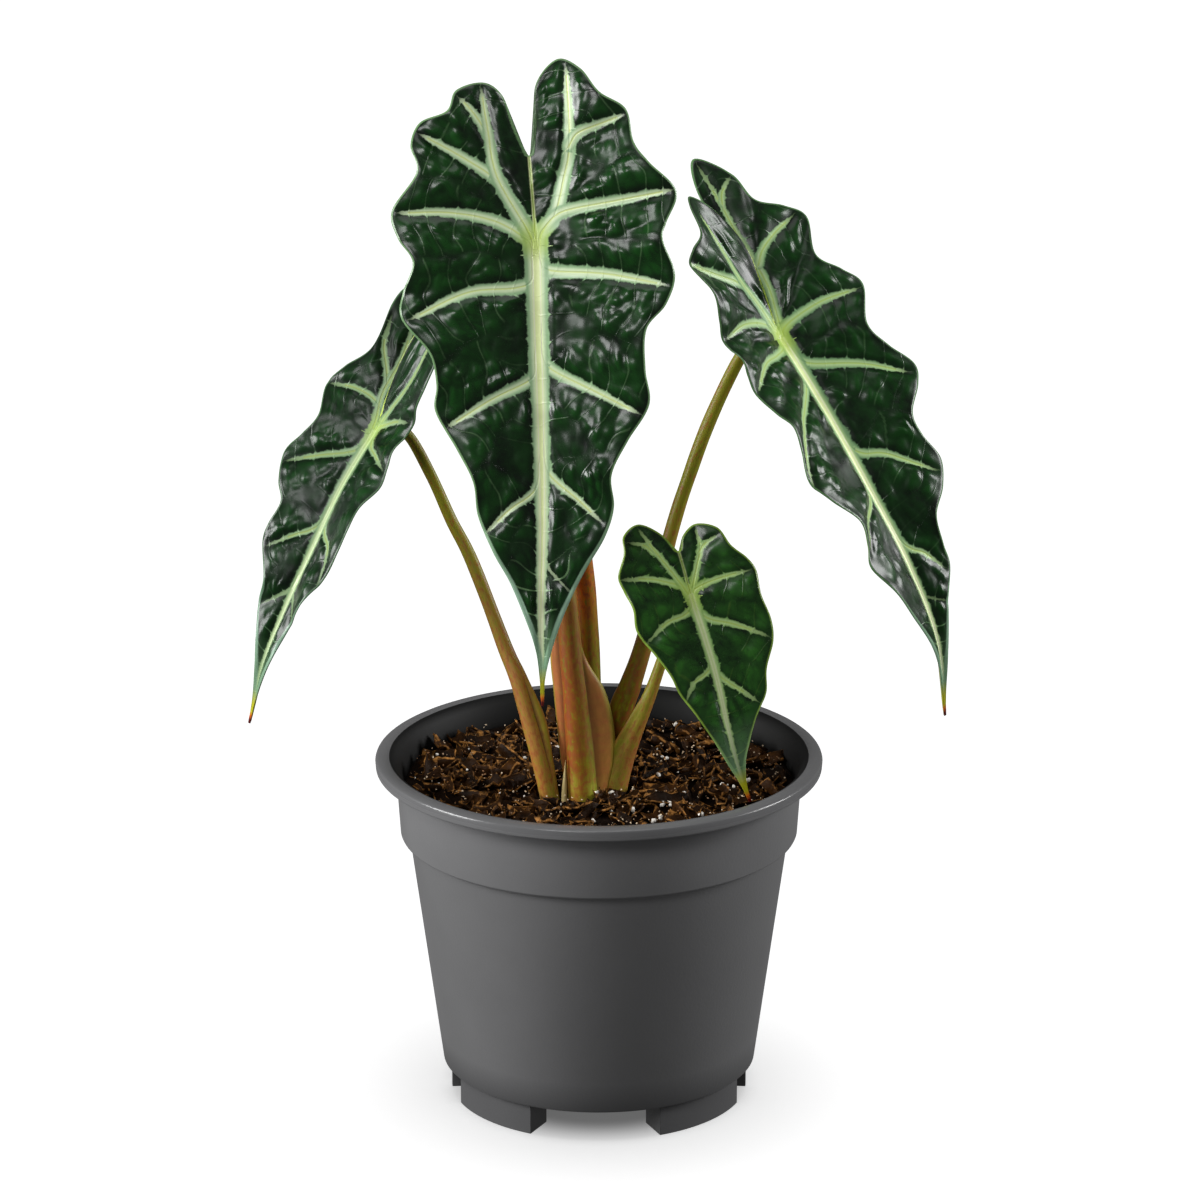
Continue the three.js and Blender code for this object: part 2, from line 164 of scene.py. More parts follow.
# Pot: a moulded grow pot of dark grey polypropylene, with a rolled lip, a neck that steps in at
# the shoulder and a foot ring cut into feet; its floor is left solid, the drain holes are not cut. One thin
# even shell.
def piece(name, mesh, finishes):
    """A finished piece from a bmesh, smooth shaded, that rides on the plant's one body"""
    data = bpy.data.meshes.new(name)
    mesh.to_mesh(data)
    mesh.free()
    for one in finishes:
        data.materials.append(one)
    data.shade_smooth()
    made = bpy.data.objects.new(name, data)
    bpy.context.collection.objects.link(made)
    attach(made, "root")
    return made


def polygon_line(mesh, points):
    """Vertices joined in a row, to spin or extrude; returns all of it"""
    verts = [mesh.verts.new(Vector(point) * MM) for point in points]
    edges = [mesh.edges.new(pair) for pair in zip(verts, verts[1:])]
    return verts + edges


pot_wall = [
    (0, 12), (57.4, 12), (58.2, 12.8), (70, 99.6), (70.4, 100.2), (73.1, 101.6), (73.4, 102.2),
    (74.9, 124.6), (75.6, 127.5), (77.2, 129.1), (79.6, 129.4), (80.6, 128.9), (80.6, 126.9),
    (81, 126.6), (81.9, 126.6), (82.3, 127), (82.5, 129.6), (82.2, 130.5), (81.3, 131), (77.4, 131),
    (75.8, 130.1), (74.2, 127.5), (73.2, 124), (72.4, 120.5), (71.6, 102), (71.2, 101.4),
    (68.6, 99.4), (68.3, 98.8), (56.6, 14), (0, 14),
]
mesh = bmesh.new()
bmesh.ops.spin(mesh, geom=polygon_line(mesh, [(r, 0, z) for r, z in pot_wall]), cent=(0, 0, 0),
               axis=(0, 0, 1), dvec=(0, 0, 0), angle=2 * math.pi, steps=144, use_merge=True)
bmesh.ops.remove_doubles(mesh, verts=mesh.verts[:], dist=0.01 * MM)
foot_gaps = [(-27, 24), (69, 85.5), (94.5, 111), (153, 204), (249, 265.5), (274.5, 291)]
for (_, start), (end, _) in zip(foot_gaps, foot_gaps[1:] + [(foot_gaps[0][0] + 360, 0)]):
    corners = [(42.4, 0, 0), (55.2, 0, 0), (55.2, 0, 13), (42.4, 0, 13)]
    side = mesh.faces.new([mesh.verts.new(Vector(corner) * MM) for corner in corners])
    turn = Matrix.Rotation(math.radians(start - 90), 3, "Z")
    bmesh.ops.rotate(mesh, verts=side.verts[:], cent=(0, 0, 0), matrix=turn)
    bmesh.ops.spin(mesh, geom=[side], cent=(0, 0, 0), axis=(0, 0, 1), dvec=(0, 0, 0),
                   angle=math.radians(end - start), steps=max(2, round((end - start) / 3)))
bmesh.ops.recalc_face_normals(mesh, faces=mesh.faces[:])

def noisy(tree, place, scale, detail, roughness=0.5):
    """Soft noise over a place"""
    return add(tree, "ShaderNodeTexNoise", {"Vector": place, "Scale": scale, "Detail": detail,
                                            "Roughness": roughness})


def blend(tree, factor, under, over):
    """One colour laid over another"""
    return add(tree, "ShaderNodeMix", {0: factor, 6: under, 7: over}, data_type="RGBA")


def coat(tree, shader, tone, roughness=None, specular=0.5):
    """Gives a finish its colour, its roughness if that is even, and its specular level"""
    tree.links.new(tone, shader.inputs["Base Color"])
    if roughness is not None:
        shader.inputs["Roughness"].default_value = roughness
    shader.inputs["Specular IOR Level"].default_value = specular


def roughen(tree, shader, height, strength, distance):
    """Fine relief in a finish"""
    bump = add(tree, "ShaderNodeBump", {"Height": height, "Strength": strength, "Distance": distance})
    tree.links.new(bump, shader.inputs["Normal"])


plastic, tree, shader = finish("pot_plastic")
place = on_object(tree)
grain = noisy(tree, place, 900, 3)
cloud = noisy(tree, place, 22, 5, 0.65)
tone = blend(tree, cloud, colour(107, 107, 108), colour(119, 119, 120))
parts = tree.nodes.new("ShaderNodeSeparateXYZ")
tree.links.new(place, parts.inputs[0])
# Painted shade: the feet and the wall's lowest 24 mm turn darker towards the floor.
painted_foot_shade = fade(tree, parts.outputs[2], 0.024, 0.011, 0, 0.9)
tone = blend(tree, painted_foot_shade, tone, colour(74, 74, 75))
# Painted shade: the lip and rim top above 125 mm are darker; the same mask also makes them glossier.
lip_shade_and_gloss = fade(tree, parts.outputs[2], 0.125, 0.13, 0, 0.8)
tone = blend(tree, lip_shade_and_gloss, tone, colour(92, 92, 93))
coat(tree, shader, tone)
sheen = fade(tree, cloud, 0.3, 0.7, 0.32, 0.42)
sheen = add(tree, "ShaderNodeMix", {0: lip_shade_and_gloss, 2: sheen, 3: 0.2})
tree.links.new(sheen, shader.inputs["Roughness"])
roughen(tree, shader, grain, 0.12, 0.0004)
# Painted shade: the inner wall is near black, standing in for the shade inside the pot.
inner, tree, shader = finish("pot_inside_painted_shade")
place = on_object(tree)
dust = noisy(tree, place, 60, 6, 0.7)
tone = blend(tree, dust, colour(9, 9, 9), colour(20, 20, 19))
coat(tree, shader, tone, 0.6, 0.15)
# The inward faces between the pot's floor and its lip take the painted shade.
for face in mesh.faces:
    middle = face.calc_center_median()
    inward = face.normal.x * middle.x + face.normal.y * middle.y < 0
    if inward and 14 * MM < middle.z < 130.7 * MM and 56 * MM < math.hypot(middle.x, middle.y) < 77.3 * MM:
        face.material_index = 1
pot = piece("grow_pot", mesh, [plastic, inner])
edge = pot.modifiers.new("rounding", "BEVEL")
edge.width = 0.5 * MM
edge.segments = 2
edge.limit_method = "ANGLE"
edge.angle_limit = math.radians(40)
edge.harden_normals = True
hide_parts("pot")
pot_shadow.objects.link(pot)


# Soil: a bark and coir mix, heaped a little round the stems. Curled flakes of bark lie over it,
# with white grains of perlite and pale specks of dust between them.
random.seed(11)
noise.seed_set(11)
stem_feet = [(-5.9, -18, 6.5), (3.6, -2.2, 5), (-18.1, -20, 4.2), (5.4, -12.6, 6), (-4.4, -6.8, 4.6)]


def soil_height(x, y):
    """The height of the soil's top in mm, a little uneven"""
    far = math.hypot(x, y)
    swell = noise.noise(Vector((x / 17, y / 17, 3))) * 1.6 + noise.noise(Vector((x / 5, y / 5, 8))) * 0.9
    return 119.6 + swell + 0.8 * math.cos(min(far / 72, 1) * math.pi / 2)


mesh = bmesh.new()
soil_line = [(r * 1.2, 0, 120) for r in range(61)]
soil_line += [(71.3, 0, 102), (68, 0, 99), (56.2, 0, 14.3), (0, 0, 14.3)]
bmesh.ops.spin(mesh, geom=polygon_line(mesh, soil_line), cent=(0, 0, 0), axis=(0, 0, 1),
               dvec=(0, 0, 0), angle=2 * math.pi, steps=160, use_merge=True)
bmesh.ops.remove_doubles(mesh, verts=mesh.verts[:], dist=0.01 * MM)
for vert in mesh.verts:
    if vert.co.z > 110 * MM:
        vert.co.z = soil_height(vert.co.x / MM, vert.co.y / MM) * MM
bmesh.ops.recalc_face_normals(mesh, faces=mesh.faces[:])

earth, tree, shader = finish("potting_mix")
place = on_object(tree)
crumb = noisy(tree, place, 420, 6, 0.7)
tone = blend(tree, crumb, colour(6, 3, 1), colour(30, 16, 6))
coat(tree, shader, tone, 0.9, 0.08)
roughen(tree, shader, crumb, 0.9, 0.0015)
soil = piece("potting_soil", mesh, [earth])
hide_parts("soil")


def bark_flake(length, width, curl, crumple):
    """One curled flake of bark: a small sheet bent about its length, with ragged ends"""
    flake = bmesh.new()
    rim = flake.verts.layers.float_color.new("rim")
    bmesh.ops.create_grid(flake, x_segments=5, y_segments=3, size=0.5)
    for vert in flake.verts:
        x, y = vert.co.x, vert.co.y
        vert[rim] = (1, 1, 1, 1) if max(abs(x), abs(y)) > 0.45 else (0, 0, 0, 1)
        ragged = 1 + 0.5 * noise.noise(Vector((x * 3, y * 3, crumple)))
        bend = y * curl
        radius = width / max(curl, 0.2)
        vert.co = Vector((x * length * ragged, radius * math.sin(bend), radius * (1 - math.cos(bend))))
        vert.co += noise.noise_vector(vert.co / 3 + Vector((crumple, 0, 0))) * 0.7
    bmesh.ops.solidify(flake, geom=flake.faces[:], thickness=0.55)
    bmesh.ops.scale(flake, vec=(MM, MM, MM), verts=flake.verts[:])
    data = bpy.data.meshes.new("flake")
    flake.to_mesh(data)
    flake.free()
    return data


flakes = [bark_flake(random.uniform(6, 11), random.uniform(4, 7.5), random.uniform(0.8, 4.2), 7 * n)
          for n in range(14)]
mesh = bmesh.new()
mesh.verts.layers.float_color.new("rim")
placed = 0
while placed < 600:
    reach = 70.5 * math.sqrt(random.random())
    around = random.uniform(0, 2 * math.pi)
    x, y = reach * math.cos(around), reach * math.sin(around)
    size = random.uniform(0.65, 1.5)
    if any(math.hypot(x - a, y - b) < r + 2.4 * size for a, b, r in stem_feet) or reach + 3 * size > 72:
        continue
    lean = Matrix.Rotation(random.gauss(0, 0.6), 4, "X") @ Matrix.Rotation(random.gauss(0, 0.5), 4, "Y")
    spot = Vector((x, y, soil_height(x, y) + random.uniform(-1.4, 2))) * MM
    start = len(mesh.verts)
    mesh.from_mesh(random.choice(flakes))
    mesh.verts.ensure_lookup_table()
    bmesh.ops.transform(mesh, verts=mesh.verts[start:], matrix=Matrix.Translation(spot)
                        @ Matrix.Rotation(random.uniform(0, 6.28), 4, "Z") @ lean @ Matrix.Scale(size, 4))
    placed += 1
bmesh.ops.recalc_face_normals(mesh, faces=mesh.faces[:])

bark, tree, shader = finish("bark")
place = on_object(tree)
rim = add(tree, "ShaderNodeAttribute", {}, attribute_name="rim")
fibre = noisy(tree, place, 330, 5, 0.65)
patch = noisy(tree, place, 75, 2)
patch = fade(tree, patch, 0.38, 0.66)
tone = blend(tree, patch, colour(28, 14, 4), colour(76, 45, 14))
dark = blend(tree, fibre, colour(14, 7, 2), tone)
# Lighter flake rims: partly real lighter broken edges, partly a painted highlight along them.
edge_wear_and_highlight = calc(tree, "MULTIPLY_ADD", rim, 1.5, fibre)
edge_wear_and_highlight = fade(tree, edge_wear_and_highlight, 1.95, 2.15)
tone = blend(tree, edge_wear_and_highlight, dark, colour(176, 122, 62))
coat(tree, shader, tone, 0.5, 0.08)
roughen(tree, shader, fibre, 0.8, 0.0012)
chips = piece("bark_chips", mesh, [bark])


def scattered(mesh, count, smallest, largest, squash, lift, spread=10):
    """Grains dropped over the soil's top; a small spread keeps them towards the front right"""
    for _ in range(count):
        reach = 70 * math.sqrt(random.random())
        around = random.gauss(math.radians(-62), spread)
        x, y = reach * math.cos(around), reach * math.sin(around)
        if any(math.hypot(x - a, y - b) < r + 1 for a, b, r in stem_feet):
            continue
        size = random.uniform(smallest, largest)
        spot = Vector((x, y, soil_height(x, y) + lift + random.uniform(-0.3, 0.7))) * MM
        turn = Matrix.Rotation(random.uniform(0, 6.28), 4, Vector((random.random(), 1, random.random())))
        turn = Matrix.Translation(spot) @ turn @ Matrix.Diagonal((1, squash, 0.8, 1))
        grain = bmesh.ops.create_icosphere(mesh, subdivisions=1, radius=size * MM, matrix=turn)
        for vert in grain["verts"]:
            vert.co += noise.noise_vector(vert.co * 900) * size * 0.5 * MM


mesh = bmesh.new()
scattered(mesh, 44, 0.35, 1.0, 0.7, 2.6)
scattered(mesh, 26, 0.8, 1.7, 0.75, 2.4, 0.75)
perlite, tree, shader = finish("perlite")
place = on_object(tree)
chalk = noisy(tree, place, 700, 4)
tone = blend(tree, chalk, colour(196, 186, 170), colour(250, 248, 242))
coat(tree, shader, tone, 0.8)
roughen(tree, shader, chalk, 0.6, 0.0006)
grains = piece("perlite_grains", mesh, [perlite])

mesh = bmesh.new()
scattered(mesh, 820, 0.16, 0.46, 0.7, 3.0)
speck, tree, shader = finish("pale_specks")
place = on_object(tree)
mix = noisy(tree, place, 160, 1)
mix = fade(tree, mix, 0.4, 0.6)
tone = blend(tree, mix, colour(150, 104, 64), colour(236, 212, 178))
coat(tree, shader, tone, 0.7)
specks = piece("soil_specks", mesh, [speck])


# Corm: the short woody base under the soil from which the stems grow. It keeps its CAD shape.
husk, tree, shader = finish("corm_husk")
place = on_object(tree)
rings = noisy(tree, place, 260, 5)
tone = blend(tree, rings, colour(70, 44, 26), colour(140, 104, 66))
coat(tree, shader, tone, 0.85)
roughen(tree, shader, rings, 0.7, 0.001)
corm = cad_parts["corm"]
for slot in corm.material_slots:
    slot.material = husk


# Stems: five fleshy leaf stalks that stand in the soil on the corm. Near the foot each has a thin
# sheath whose edges stand out at its sides. Olive above, mottled with tan and pink-brown below.
def through(rows, t):
    """A smooth value through the rows of a table; every column is followed alike"""
    last = len(rows) - 1
    i = max(0, min(math.floor(t), last - 1))
    f = t - i
    b, c = rows[i], rows[i + 1]
    a = rows[i - 1] if i > 0 else [2 * v - w for v, w in zip(b, c)]
    d = rows[i + 2] if i + 2 <= last else [2 * v - w for v, w in zip(c, b)]
    return [q + 0.5 * f * (r - p + f * (2 * p - 5 * q + 4 * r - s + f * (3 * q - p - 3 * r + s)))
            for p, q, r, s in zip(a, b, c, d)]


def smooth(value):
    """A soft step from 0 to 1"""
    value = max(0, min(1, value))
    return value * value * (3 - 2 * value)


def stalk(rows, edges, end, wrinkle=0):
    """A stem swept along rows of x, y, z, radius and the reach of its sheath's two edges"""
    mesh = bmesh.new()
    skin = mesh.verts.layers.float_vector.new("skin")
    sheath = mesh.verts.layers.float_vector.new("sheath")
    around, rings = 96, (len(rows) - 1) * 9
    bmesh.ops.create_grid(mesh, x_segments=around, y_segments=rings, size=0.5)
    first, second = math.radians(edges[0]), math.radians(edges[1] - edges[0])
    for vert in mesh.verts:
        angle = (vert.co.x + 0.5) * 2 * math.pi
        t = (vert.co.y + 0.5) * end
        x, y, z, radius, wing, other = through(rows, t)
        along = Vector(through(rows, t + 0.03)[:3]) - Vector(through(rows, t - 0.03)[:3])
        along.normalize()
        right = Vector((math.cos(first), math.sin(first), 0))
        right = (right - along * along.dot(right)).normalized()
        back = along.cross(right)
        turned = (angle - second + math.pi) % (2 * math.pi) - math.pi
        angle_on = (angle + math.pi) % (2 * math.pi) - math.pi
        flap = max(0, math.cos(angle)) ** 18
        other_flap = max(0, math.cos(turned)) ** 18
        fold = math.exp(-((angle_on + 0.46) / 0.09) ** 2) * smooth(wing / 2)
        fold += math.exp(-((turned - 0.46) / 0.09) ** 2) * smooth(other / 2)
        reach = radius + max(0, wing) * flap + max(0, other) * other_flap
        reach -= 0.7 * fold
        reach += wrinkle * noise.noise(Vector((math.cos(angle), math.sin(angle), z / 14)))
        vert[skin] = (math.cos(angle), math.sin(angle), z)
        brim = max(flap * smooth(wing / 1.5), other_flap * smooth(other / 1.5))
        vert[sheath] = (max(max(0, wing) * flap, max(0, other) * other_flap), brim, fold)
        vert.co = Vector((x, y, z)) + reach * (right * math.cos(angle) + back * math.sin(angle))
        vert.co *= MM
    bmesh.ops.remove_doubles(mesh, verts=mesh.verts[:], dist=0.005 * MM)
    bmesh.ops.holes_fill(mesh, edges=[edge for edge in mesh.edges if edge.is_boundary], sides=0)
    bmesh.ops.recalc_face_normals(mesh, faces=mesh.faces[:])
    return mesh


def stalk_finish(name, bands, left, right, share, flap, hem):
    """Fleshy stem skin: colours by height in mm, tinted on two sides, with streaks and mottling"""
    lowest, tall = 113, 200
    skin, tree, shader = finish(name)
    kept = tree.nodes.new("ShaderNodeAttribute")
    kept.attribute_name = "skin"
    place = kept.outputs["Vector"]
    parts = tree.nodes.new("ShaderNodeSeparateXYZ")
    tree.links.new(place, parts.inputs[0])
    streak_place = add(tree, "ShaderNodeMapping", {"Vector": place, "Scale": (4.5, 4.5, 0.11)})
    streak = noisy(tree, streak_place, 2.2, 5, 0.6)
    blot_place = add(tree, "ShaderNodeMapping", {"Vector": place, "Scale": (1, 1, 0.09)})
    blot = noisy(tree, blot_place, 1.6, 3)
    height = calc(tree, "MULTIPLY_ADD", blot, 26, parts.outputs[2])
    height = fade(tree, height, lowest + 13, lowest + tall + 13)
    ramp = tree.nodes.new("ShaderNodeValToRGB")
    tree.links.new(height, ramp.inputs[0])
    for number, (z, tint) in enumerate(bands):
        stop = ramp.color_ramp.elements[number] if number < 2 else ramp.color_ramp.elements.new(1)
        stop.position = (z - lowest) / tall
        stop.color = tint
    side = fade(tree, parts.outputs[0], -0.9, 0.9)
    side = blend(tree, side, left, right)
    low = fade(tree, parts.outputs[2], 150, 235, share, 0)
    low = calc(tree, "MULTIPLY", low, blot)
    tone = blend(tree, low, ramp.outputs[0], side)
    spots_place = add(tree, "ShaderNodeMapping", {"Vector": place, "Scale": (1.6, 1.6, 0.26)})
    spots = noisy(tree, spots_place, 1.6, 4, 0.6)
    pinkish = fade(tree, spots, 0.5, 0.66, 0, 0.7)
    tone = blend(tree, pinkish, tone, colour(152, 74, 40))
    mossy = fade(tree, spots, 0.47, 0.34, 0, 0.75)
    tone = blend(tree, mossy, tone, colour(132, 134, 24))
    wrap = tree.nodes.new("ShaderNodeAttribute")
    wrap.attribute_name = "sheath"
    flaps = tree.nodes.new("ShaderNodeSeparateXYZ")
    tree.links.new(wrap.outputs["Vector"], flaps.inputs[0])
    stands = fade(tree, flaps.outputs[0], 0.3, 1.4, 0, 0.66)
    tone = blend(tree, stands, tone, flap)
    brim = fade(tree, flaps.outputs[1], 0.72, 0.95)
    tone = blend(tree, brim, tone, hem)
    shade = calc(tree, "MULTIPLY", flaps.outputs[2], 0.6)
    tone = blend(tree, shade, tone, colour(58, 30, 10))
    lines = fade(tree, streak, 0.35, 0.7, 0.88, 1.1)
    tone = add(tree, "ShaderNodeVectorMath", {0: tone, 3: lines}, operation="SCALE")
    coat(tree, shader, tone, 0.42, 0.35)
    roughen(tree, shader, streak, 0.12, 0.0006)
    return skin


olive, tan, pink = colour(138, 136, 26), colour(164, 122, 46), colour(160, 92, 52)
lime, russet, umber = colour(158, 168, 52), colour(160, 80, 30), colour(112, 76, 20)
# Each stem: its rows, the angles of its sheath's two edges, the last row reached, its colours by
# height, its two side tints and how strongly they show, and the tints of the sheath and its edge.
stem_tables = {
    "stem_main": (
        [[-5.5, -18, 100, 4.9, 0, 0], [-5.9, -18, 120, 5.6, 3.6, 0.5],
        [-6.6, -18, 133, 5.2, 7.4, 2.4], [-7.6, -17.6, 145, 4.8, 8.8, 3.2],
        [-8.8, -17, 160, 4.4, 6.9, 3.8], [-10.4, -15.5, 178, 4.1, 0, 3.8],
        [-13.5, -11, 215, 3.5, 0, 0], [-17.5, -4.5, 262, 2.9, 0, 0], [-21, -1.5, 305, 2.5, 0, 0],
        [-22.3, -7.5, 327, 2.4, 0, 0], [-22.5, -22.8, 332, 2.4, 0, 0]], (14, 158), 9.93,
        [(113, lime), (124, lime), (134, umber), (160, russet), (215, tan), (262, olive), (313, olive)],
        russet, olive, 1.2, colour(200, 126, 72), colour(178, 164, 56)),
    "stem_right": (
        [[2.3, -2, 100, 3.8, 0, 0], [3.6, -2.2, 121, 4.2, 0, 0], [6.2, -2.8, 136, 4.1, 1, 0],
        [9.2, -3, 150.6, 3.9, 1.4, 0], [12.1, -3, 159.5, 3.7, 0.8, 0], [17.1, -2, 177, 3.2, 0, 0],
        [26.2, 1.5, 215.3, 2.65, 0, 0], [32.7, 4, 236.2, 2.5, 0, 0], [40.3, 6, 257.2, 2.5, 0, 0],
        [50.5, 8.2, 279, 2.3, 0, 0], [57, 6.5, 287.5, 2.3, 0, 0], [65.4, 0.1, 289.4, 2.3, 0, 0]],
        (190, 0), 10.9,
        [(113, umber), (150, umber), (190, tan), (230, olive), (270, olive), (313, olive)], umber,
        olive, 0.8, umber, tan),
    "stem_left": (
        [[-14.5, -20, 100, 3.2, 0, 0], [-18.1, -20, 121, 3.4, 0.3, 0], [-21, -19, 134, 3.4, 1.2, 0],
        [-25, -16, 148.5, 3.3, 2.6, 0], [-29.6, -12, 163.7, 3, 0.8, 0],
        [-34.5, -8, 175.5, 2.7, 0, 0], [-46, 0.5, 204.6, 2.4, 0, 0], [-53.8, 4.5, 219.6, 2.2, 0, 0],
        [-61.5, 6.8, 236.7, 2.1, 0, 0], [-69, 8, 250.5, 2, 0, 0], [-75, 5.5, 254.5, 2, 0, 0],
        [-80.9, -0.4, 254.9, 2, 0, 0]], (-10, 180), 10.85,
        [(113, lime), (130, tan), (165, tan), (205, olive), (250, olive), (313, olive)], pink, tan,
        0.9, olive, tan),
    "stem_small": (
        [[2.9, -13, 100, 4, 0, 0], [5.4, -12.6, 121, 4.9, 1.4, 0], [8.8, -12.6, 133.5, 4.2, 2.2, 0],
        [12, -13, 142, 3.4, 1.8, 0], [16, -13.4, 152, 2.8, 0.8, 0], [19.8, -13.4, 162, 2.3, 0, 0],
        [26, -12.6, 181, 1.8, 0, 0], [31.5, -14.5, 198, 1.6, 0, 0], [33.2, -20, 204, 1.6, 0, 0],
        [33, -29.8, 202.5, 1.6, 0, 0]], (200, 0), 8.9,
        [(113, lime), (132, pink), (150, tan), (165, olive), (190, olive), (313, olive)], pink,
        lime, 1.0, olive, tan),
    "stem_back": (
        [[-3.9, -6.8, 100, 3.3, 0, 0], [-4.4, -6.8, 121, 3.8, 0.6, 0], [-3.2, -7, 150, 3.9, 0.4, 1],
        [-4.2, -6.5, 190, 3.6, 0, 0.6], [-6.5, -5.5, 215, 3.3, 0, 0], [-9.5, -4, 245, 2.6, 0, 0],
        [-12, -3, 268, 1.6, 0, 0], [-13.5, -2.5, 284, 0.5, 0, 0]], (10, 180), 7,
        [(113, lime), (140, olive), (170, olive), (203, colour(240, 118, 30)),
        (225, colour(196, 128, 30)), (246, olive), (290, colour(70, 110, 44))],
        russet, olive, 1.4, olive, russet),
}
for name, (rows, edges, end, bands, left, right, share, flap, hem) in stem_tables.items():
    flesh = stalk_finish(name + "_skin", bands, left, right, share, flap, hem)
    stem = piece(name.replace("stem", "stalk"), stalk(rows, edges, end, 0.15), [flesh])
    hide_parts(name)


# Dry sheath: a thin cream sliver of an old leaf base, left standing between two stems.
mesh = bmesh.new()
bmesh.ops.create_grid(mesh, x_segments=6, y_segments=24, size=0.5)
for vert in mesh.verts:
    rise = vert.co.y + 0.5
    across = vert.co.x * 2.1 * (1 - rise ** 2.2)
    bow = 0.5 * math.cos(vert.co.x * math.pi)
    vert.co = Vector((-12.9 + across + 0.7 * rise, -22.4 - bow + 1.6 * rise, 117 + 19 * rise)) * MM
bmesh.ops.solidify(mesh, geom=mesh.faces[:], thickness=0.5 * MM)
bmesh.ops.recalc_face_normals(mesh, faces=mesh.faces[:])
straw, tree, shader = finish("dry_sheath")
place = add(tree, "ShaderNodeMapping", {"Vector": on_object(tree), "Scale": (1, 1, 0.08)})
grain = noisy(tree, place, 1500, 3)
tone = blend(tree, grain, colour(150, 124, 66), colour(214, 196, 138))
coat(tree, shader, tone, 0.6)
sliver = piece("dry_sheath", mesh, [straw])


# Leaves: thick glossy arrow-shaped blades, dark green and quilted between pale feathered veins,
# on a midrib that stands out underneath. The margin waves and has a thin pale rim.
def vein_line(points, width, taper):
    """A vein as close samples: its search tree, the samples' places and directions, and its sizes"""
    steps = (len(points) - 1) * 24
    line = [Vector((*through(points, i / 24), 0)) for i in range(steps + 1)]
    tree = kdtree.KDTree(len(line))
    samples, run = [], 0
    for i, spot in enumerate(line):
        tree.insert(spot, i)
        run += (spot - line[i - 1]).length if i else 0
        samples.append((spot, (line[min(i + 1, steps)] - line[max(i - 1, 0)]).normalized(), run))
    tree.balance()
    return tree, samples, run, width, taper


def vein_at(vein, spot):
    """How far a spot lies from a vein, to which side, how far along, and the vein's half width there"""
    tree, samples, length, width, taper = vein
    _, index, _ = tree.find(spot)
    middle, way, run = samples[index]
    off = spot - middle
    run = max(0, min(length, run + way.dot(off)))
    across = way.x * off.y - way.y * off.x
    ahead = max(0, abs(way.dot(off)) - 0.35) if index in (0, len(samples) - 1) else 0
    far = math.hypot(across, ahead)
    half = width * (1 - run / length) ** taper + 0.12
    return far, math.copysign(far, across), run, half


def blade_point(blade, side, u, v, h):
    """A point of a blade's middle surface at u across and v along, raised by h"""
    t = v / blade["step"] + 2
    here = Vector(through(blade["knots"], t))
    along = Vector(through(blade["knots"], t + 0.02)) - Vector(through(blade["knots"], t - 0.02))
    along.normalize()
    across = Vector(blade["across"])
    across = (across - along * along.dot(across)).normalized()
    normal = along.cross(across)
    fold = math.radians(blade["fold"])
    lift = blade["lift"][0 if side > 0 else 1] * max(0, -v)
    return here + across * side * u * math.cos(fold) + normal * (u * math.sin(fold) + lift + h)


